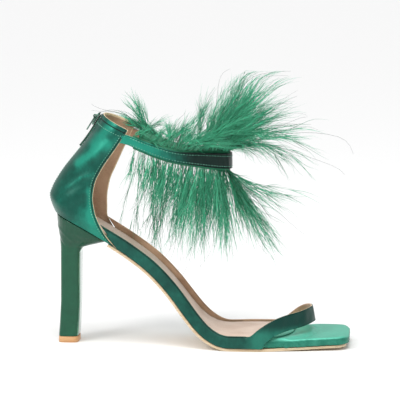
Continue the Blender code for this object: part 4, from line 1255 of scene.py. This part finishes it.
def stitch_row(points, outs, pitch):
    """Stitches along a line of points on the satin, one at each pitch."""
    rows = []
    run = 0.0
    target = pitch / 2.0
    for a, b, out in zip(points, points[1:], outs):
        gap = (b - a).length
        while target <= run + gap and gap > 0.0:
            rows.append((a.lerp(b, (target - run) / gap), (b - a).normalized(), out,
                         pitch * STITCH_SHARE))
            target += pitch
        run += gap
    return rows


def stitches(name, rows):
    verts, faces = [], []
    turns = range(STITCH_SIDES)
    for centre, along, out, length in rows:
        across = along.cross(out).normalized()
        sunk = out * STITCH_THICK * 0.6
        start = len(verts)
        verts.append(centre - along * length * 0.5 - sunk)
        for share, size, rise in STITCH_RINGS:
            for turn in turns:
                angle = 2.0 * math.pi * turn / STITCH_SIDES
                verts.append(centre + along * length * share + out * STITCH_THICK * rise
                             + (across * math.cos(angle) + out * math.sin(angle))
                             * STITCH_THICK * size)
        verts.append(centre + along * length * 0.5 - sunk)
        last = len(verts) - 1
        for turn in turns:
            after = (turn + 1) % STITCH_SIDES
            faces.append((start, start + 1 + turn, start + 1 + after))
            for ring in (1, 1 + STITCH_SIDES):
                a, b = start + ring + turn, start + ring + after
                faces.append((a, b, b + STITCH_SIDES, a + STITCH_SIDES))
            faces.append((last, last - STITCH_SIDES + after, last - STITCH_SIDES + turn))
    made = piece(name, verts, faces, (THREAD,))
    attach(made, "shoe")
    print(name + ":", len(rows), "stitches")


def face_line(face, places, lift, inside):
    """Points on a wall's outer side, and the directions out of it."""
    outs = [wall_out(face, u, v, inside, 0.03, 0.01) for u, v in places]
    return [face(u, v) + out * lift(u, v) for (u, v), out in zip(places, outs)], outs


counter_lines = [[(u, v) for v in spread(0.04, 0.97, 120)] for u in (-0.935, 0.935)]
counter_lines += [[(u, v) for v in spread(0.12, 0.97, 120)] for u in (-0.052, 0.052)]
counter_lines += [[(u, 0.955) for u in spread(start, end, 90)]
                  for start, end in ((-0.92, -0.1), (0.1, 0.92))]
counter_rows = []
for places in counter_lines:
    line = face_line(counter_face, places, counter_lift, -1.0)
    counter_rows += stitch_row(*line, 2.0 * MM)
stitches("counter_stitches", counter_rows)
strap_rows = []
for v in (0.80, 0.15):
    line = face_line(ankle_face, [(u, v) for u in spread(-0.99, 0.99, 300)], strap_lift, 1.0)
    strap_rows += stitch_row(*line, 2.2 * MM)
stitches("strap_stitches", strap_rows)

# %% [markdown]
# ## Ostrich feathers
#
# Ostrich feather has no stiff web: from each thin shaft hang long loose barbs, each of
# them fuzzy. The trim is a band of such shafts inside the ankle strap, some drawn up and
# some down. Blender's hair would draw them quickly, but it can't leave Blender as a mesh.
# Here every shaft and barb is a thin tapered tube with three sides, worked out for all of
# them at once with arrays of numbers, and all random draws come from one seeded source.

# %% Locks of feathers
TRIM_BAND = 3.0 * MM
TRIM_END = 0.975
FEATHER_LENGTH = 92.0 * MM
SHAFT_STEPS, BARB_STEPS, HAIR_STEPS = 9, 6, 14
FUZZ_SHARE = 0.22             # share of the barbs that are short and stand out as fuzz
# Where strands begin to be held back and where they end, in length, width and height
SOFT_LIMITS = np.array((216.0, 44.0, 196.0)) * MM
HARD_LIMITS = np.array((236.0, 51.0, 208.5)) * MM
# The shafts from the strap's outer root (-1) by its front (0) to its inner root (1): their
# length as a share of FEATHER_LENGTH, their lean from the upright and their turn round it
# in degrees, and how many stand there as a share of the usual number
UPPER_LOCKS = (
    ("along", "length", "lean", "sweep", "full"),
    (-1.00, 0.24, 56.0, -30.0, 0.6), (-0.80, 0.32, 56.0, -66.0, 0.7),
    (-0.60, 0.62, 50.0, -64.0, 1.0), (-0.40, 0.94, 40.0, -60.0, 1.4),
    (-0.20, 0.98, 44.0, -50.0, 1.5), (0.00, 1.00, 68.0, 0.0, 1.5),
    (0.20, 0.90, 60.0, 42.0, 1.2), (0.40, 0.84, 38.0, 40.0, 1.0),
    (0.60, 0.52, 46.0, 50.0, 0.9), (0.80, 0.40, 62.0, -40.0, 1.2),
    (1.00, 0.42, 80.0, -88.0, 3.0),
)
LOWER_LOCKS = (
    ("along", "length", "lean", "sweep", "full"),
    (-1.00, 0.32, 14.0, 30.0, 0.4), (-0.80, 0.50, 16.0, 65.0, 0.8),
    (-0.60, 0.70, 16.0, 78.0, 1.1), (-0.40, 0.80, 14.0, 75.0, 1.2),
    (-0.20, 0.86, 22.0, 10.0, 1.2), (0.00, 1.00, 58.0, 0.0, 1.6),
    (0.20, 0.84, 26.0, -30.0, 1.1), (0.40, 0.78, 16.0, -70.0, 1.0),
    (0.60, 1.05, 13.0, -75.0, 0.9), (0.80, 1.25, 10.0, -55.0, 1.0),
    (1.00, 1.05, 8.0, -30.0, 0.8),
)
draw = np.random.default_rng(7)


def unit(vectors):
    return vectors / np.maximum(np.linalg.norm(vectors, axis=-1, keepdims=True), 1e-9)


def sweep_lines(starts, first, last, lengths, steps, wobble):
    """Centre lines that leave each start along first and turn to last."""
    count = len(starts)
    phase = draw.uniform(0.0, 2.0 * np.pi, (count, 3))
    points = [starts]
    for k in range(steps):
        t = (k + 0.5) / steps
        heading = unit(first * (1.0 - t) + last * t)
        shake = np.sin(phase + 5.0 * t) * wobble * t
        points.append(points[-1] + unit(heading + shake) * (lengths / steps)[:, None])
    return np.stack(points, axis=1)


def held(values, soft, hard):
    """Values that ease toward a limit instead of passing it."""
    over = np.maximum(values - soft, 0.0)
    return np.minimum(values, soft) + (hard - soft) * (1.0 - np.exp(-over / (hard - soft)))


def tubes(name, lines, radii, taper, paint):
    """Three-sided tapered tubes round centre lines, closed at both ends."""
    lines = np.sign(lines) * held(np.abs(lines), SOFT_LIMITS, HARD_LIMITS)
    count, rings, _ = lines.shape
    along = unit(np.gradient(lines, axis=1))
    side = unit(np.cross(along, np.array([0.3, 0.5, 0.81])))
    other = np.cross(along, side)
    t = np.linspace(0.0, 1.0, rings)
    wide = radii[:, None] * (1.0 - (1.0 - taper) * t[None, :] ** 1.3)
    verts = []
    for angle in (0.0, 2.0 * np.pi / 3.0, 4.0 * np.pi / 3.0):
        verts.append(lines + (side * np.cos(angle) + other * np.sin(angle)) * wide[..., None])
    verts = np.stack(verts, axis=2).reshape(-1, 3)
    verts[:, 0] -= ORIGIN
    base = (np.arange(count) * rings * 3)[:, None]
    sides = []
    for ring in range(rings - 1):
        for k in range(3):
            a, b = ring * 3 + k, ring * 3 + (k + 1) % 3
            sides.append([a, b, b + 3, a + 3])
    quads = (base[:, :, None] + np.array(sides)[None]).reshape(-1, 4)
    last = (rings - 1) * 3
    ends = base[:, :, None] + np.array([[0, 2, 1], [last, last + 1, last + 2]])[None]
    mesh = bpy.data.meshes.new(name)
    mesh.from_pydata(verts.tolist(), [], quads.tolist() + ends.reshape(-1, 3).tolist())
    tone = np.repeat(draw.uniform(0.0, 1.0, count), rings * 3)
    reach = np.tile(np.repeat(t, 3), count)
    for word, values in (("strand_tone", tone), ("strand_reach", reach)):
        attribute = mesh.attributes.new(word, "FLOAT", "POINT")
        attribute.data.foreach_set("value", values.astype(np.float32))
    mesh.materials.append(paint)
    mesh.polygons.foreach_set("use_smooth", [True] * len(mesh.polygons))
    made = bpy.data.objects.new(name, mesh)
    scene.collection.objects.link(made)
    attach(made, "shoe")
    print(name + ":", count, "strands,", 2 * len(quads) + 2 * count, "triangles")
    return made


def feather(name, root, middle, tip):
    """Finish of the barbs: each strand has its own green, paler toward its tip."""
    material, place, link = new_finish(name, 0.55, Sheen_Weight=0.08, Sheen_Roughness=0.4)
    own = Tone(place.tree).node("Attribute", {"attribute_name": "strand_tone"}, output=2)
    reach = Tone(place.tree).node("Attribute", {"attribute_name": "strand_reach"}, output=2)
    patch = noise(place, 120.0, 2.0)
    base = (own * 0.6 + patch * 0.4).between(0.15, 0.85).mix(root, middle)
    link(Base_Color=(reach ** 2.5).mix(base, tip),
         Roughness=0.5 + patch * 0.2,
         Normal=bump(noise(place, 3000.0, 1.0), 0.00005))
    return material


FEATHER = feather("green_feather", colour(10, 100, 68), colour(80, 204, 156),
                  colour(80, 182, 144))
WISP = feather("dark_feather", colour(20, 64, 50), colour(30, 90, 70), colour(50, 80, 70))


def lock_frames(clumps, each, up, table):
    """Roots, first and last directions and lengths of shafts that stand in clumps."""
    starts, firsts, lasts, lengths = [], [], [], []
    for k in range(clumps):
        middle = -TRIM_END + 2.0 * TRIM_END * (k + draw.uniform(0.2, 0.8)) / clumps
        clump_lean = draw.normal(1.0, 0.38)
        clump_sweep = draw.normal(0.0, 24.0)
        clump_size = draw.uniform(0.50, 1.0)
        for _ in range(max(round(each * table_value(table, "full", middle)), 1)):
            share = middle + draw.normal(0.0, 0.6 / clumps)
            share = min(max(share, -TRIM_END), TRIM_END)
            inset = ANKLE_WALL + 0.3 * MM + draw.uniform(0.1, 0.9) * TRIM_BAND
            x, y, _ = ankle_plan(share, inset)
            low, high = ankle_edges(share)
            z = high + 1.0 * MM if up > 0.0 else low - 1.0 * MM
            ahead = Vector(ankle_plan(share + 0.01)[:2]) - Vector(ankle_plan(share - 0.01)[:2])
            out = Vector((ahead.y, -ahead.x, 0.0)).normalized()
            sweep = table_value(table, "sweep", share) + clump_sweep + draw.normal(0.0, 7.0)
            out.rotate(Matrix.Rotation(-math.radians(sweep), 3, "Z"))
            lean = table_value(table, "lean", share) * clump_lean + draw.normal(0.0, 6.0)
            lean = math.radians(min(max(lean, 2.0), 100.0))
            first = lean * 0.70
            last = lean * 1.35 + 0.12 if up > 0.0 else lean * 1.05
            starts.append((x, y, z))
            for angle, rows in ((first, firsts), (last, lasts)):
                rows.append((out.x * math.sin(angle), out.y * math.sin(angle),
                             up * math.cos(angle)))
            size = clump_size * draw.uniform(0.55, 1.0)
            lengths.append(FEATHER_LENGTH * table_value(table, "length", share) * size)
    return [np.array(rows, float) for rows in (starts, firsts, lasts, lengths)]


def plumes(name, clumps, each, up, table, barbs, barb_length):
    """Shafts along one edge of the trim, in clumps of about each shafts, and the loose
    barbs that hang from every shaft."""
    starts, firsts, lasts, lengths = lock_frames(clumps, each, up, table)
    count = len(starts)
    shafts = sweep_lines(starts, firsts, lasts, lengths, SHAFT_STEPS, 0.20)
    tubes(name + "_shafts", shafts, draw.uniform(0.12, 0.22, count) * MM, 0.25, FEATHER)
    which = np.repeat(np.arange(count), barbs)
    at = draw.uniform(0.02, 0.85, len(which))
    index = at * SHAFT_STEPS
    low = index.astype(int)
    part = (index - low)[:, None]
    roots = shafts[which, low] * (1.0 - part) + shafts[which, low + 1] * part
    along = unit(shafts[which, low + 1] - shafts[which, low])
    away = unit(np.cross(along, draw.normal(0.0, 1.0, (len(which), 3))))
    fuzz = draw.uniform(0.0, 1.0, len(which)) < FUZZ_SHARE
    spreading = np.where(fuzz, draw.uniform(0.35, 0.80, len(which)),
                         draw.uniform(0.03, 0.30, len(which)))[:, None]
    first = unit(along + away * spreading)
    last = unit(along + away * spreading * 0.3 + np.array([0.0, 0.0, -0.18]))
    size = barb_length * np.where(fuzz, draw.uniform(0.18, 0.40, len(which)),
                                  draw.uniform(0.45, 1.0, len(which)) ** 1.3)
    size = np.minimum(size, lengths[which] * 0.85) * (1.0 - 0.30 * at)
    lines = sweep_lines(roots, first, last, size, BARB_STEPS, 0.30)
    return tubes(name + "_barbs", lines, draw.uniform(0.10, 0.22, len(which)) * MM, 0.15,
                 FEATHER)


# %% The trim's band
band_rings = []
for u in spread(-TRIM_END, TRIM_END, 90):
    low, high = ankle_edges(u)
    low, high = low - 1.2 * MM, high + 1.2 * MM
    loop = []
    for inset, z in ((1.5, low), (1.5, high), (4.5, high), (4.5, low)):
        x, y, _ = ankle_plan(u, inset * MM)
        loop.append(Vector((x, y, z)))
    band_rings.append(loop)
trim = skin("feather_band", band_rings, (FEATHER,), lambda i, k: 0)
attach(trim, "shoe")

# %% The plumes
upper = plumes("upper_plumes", 56, 6, 1.0, UPPER_LOCKS, 12, 40.0 * MM)
lower = plumes("lower_plumes", 50, 6, -1.0, LOWER_LOCKS, 12, 42.0 * MM)
for made in (trim, upper, lower):
    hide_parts("feather_trim")

# %% [markdown]
# A few long hairs stand out of every feather trim. They are as thin as the barbs, but each
# is a single strand, darker than the rest.


# %% Long single hairs
def hairs(name, clumps, up, table):
    starts, firsts, lasts, lengths = lock_frames(clumps, 1, up, table)
    count = len(starts)
    lengths = lengths * draw.uniform(1.15, 1.65, count)
    lines = sweep_lines(starts, firsts, lasts, lengths, HAIR_STEPS, 0.40)
    tubes(name, lines, draw.uniform(0.14, 0.21, count) * MM, 0.35, WISP)


hairs("upper_hairs", 56, 1.0, UPPER_LOCKS)
hairs("lower_hairs", 40, -1.0, LOWER_LOCKS)

# %% [markdown]
# ## The size of the dressed shoe
#
# Cloth and feathers may stand a little proud of the solids, so the sizes of both boxes are
# printed at the end. The dressed shoe has to be as large as its solids, apart from the
# little that cloth and feathers may stand proud.

# %% The two boxes
low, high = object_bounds()
for axis, word in enumerate(("length", "width", "height")):
    print(word, "in mm: solids", round((cad_high[axis] - cad_low[axis]) / MM, 1),
          "dressed", round((high[axis] - low[axis]) / MM, 1))
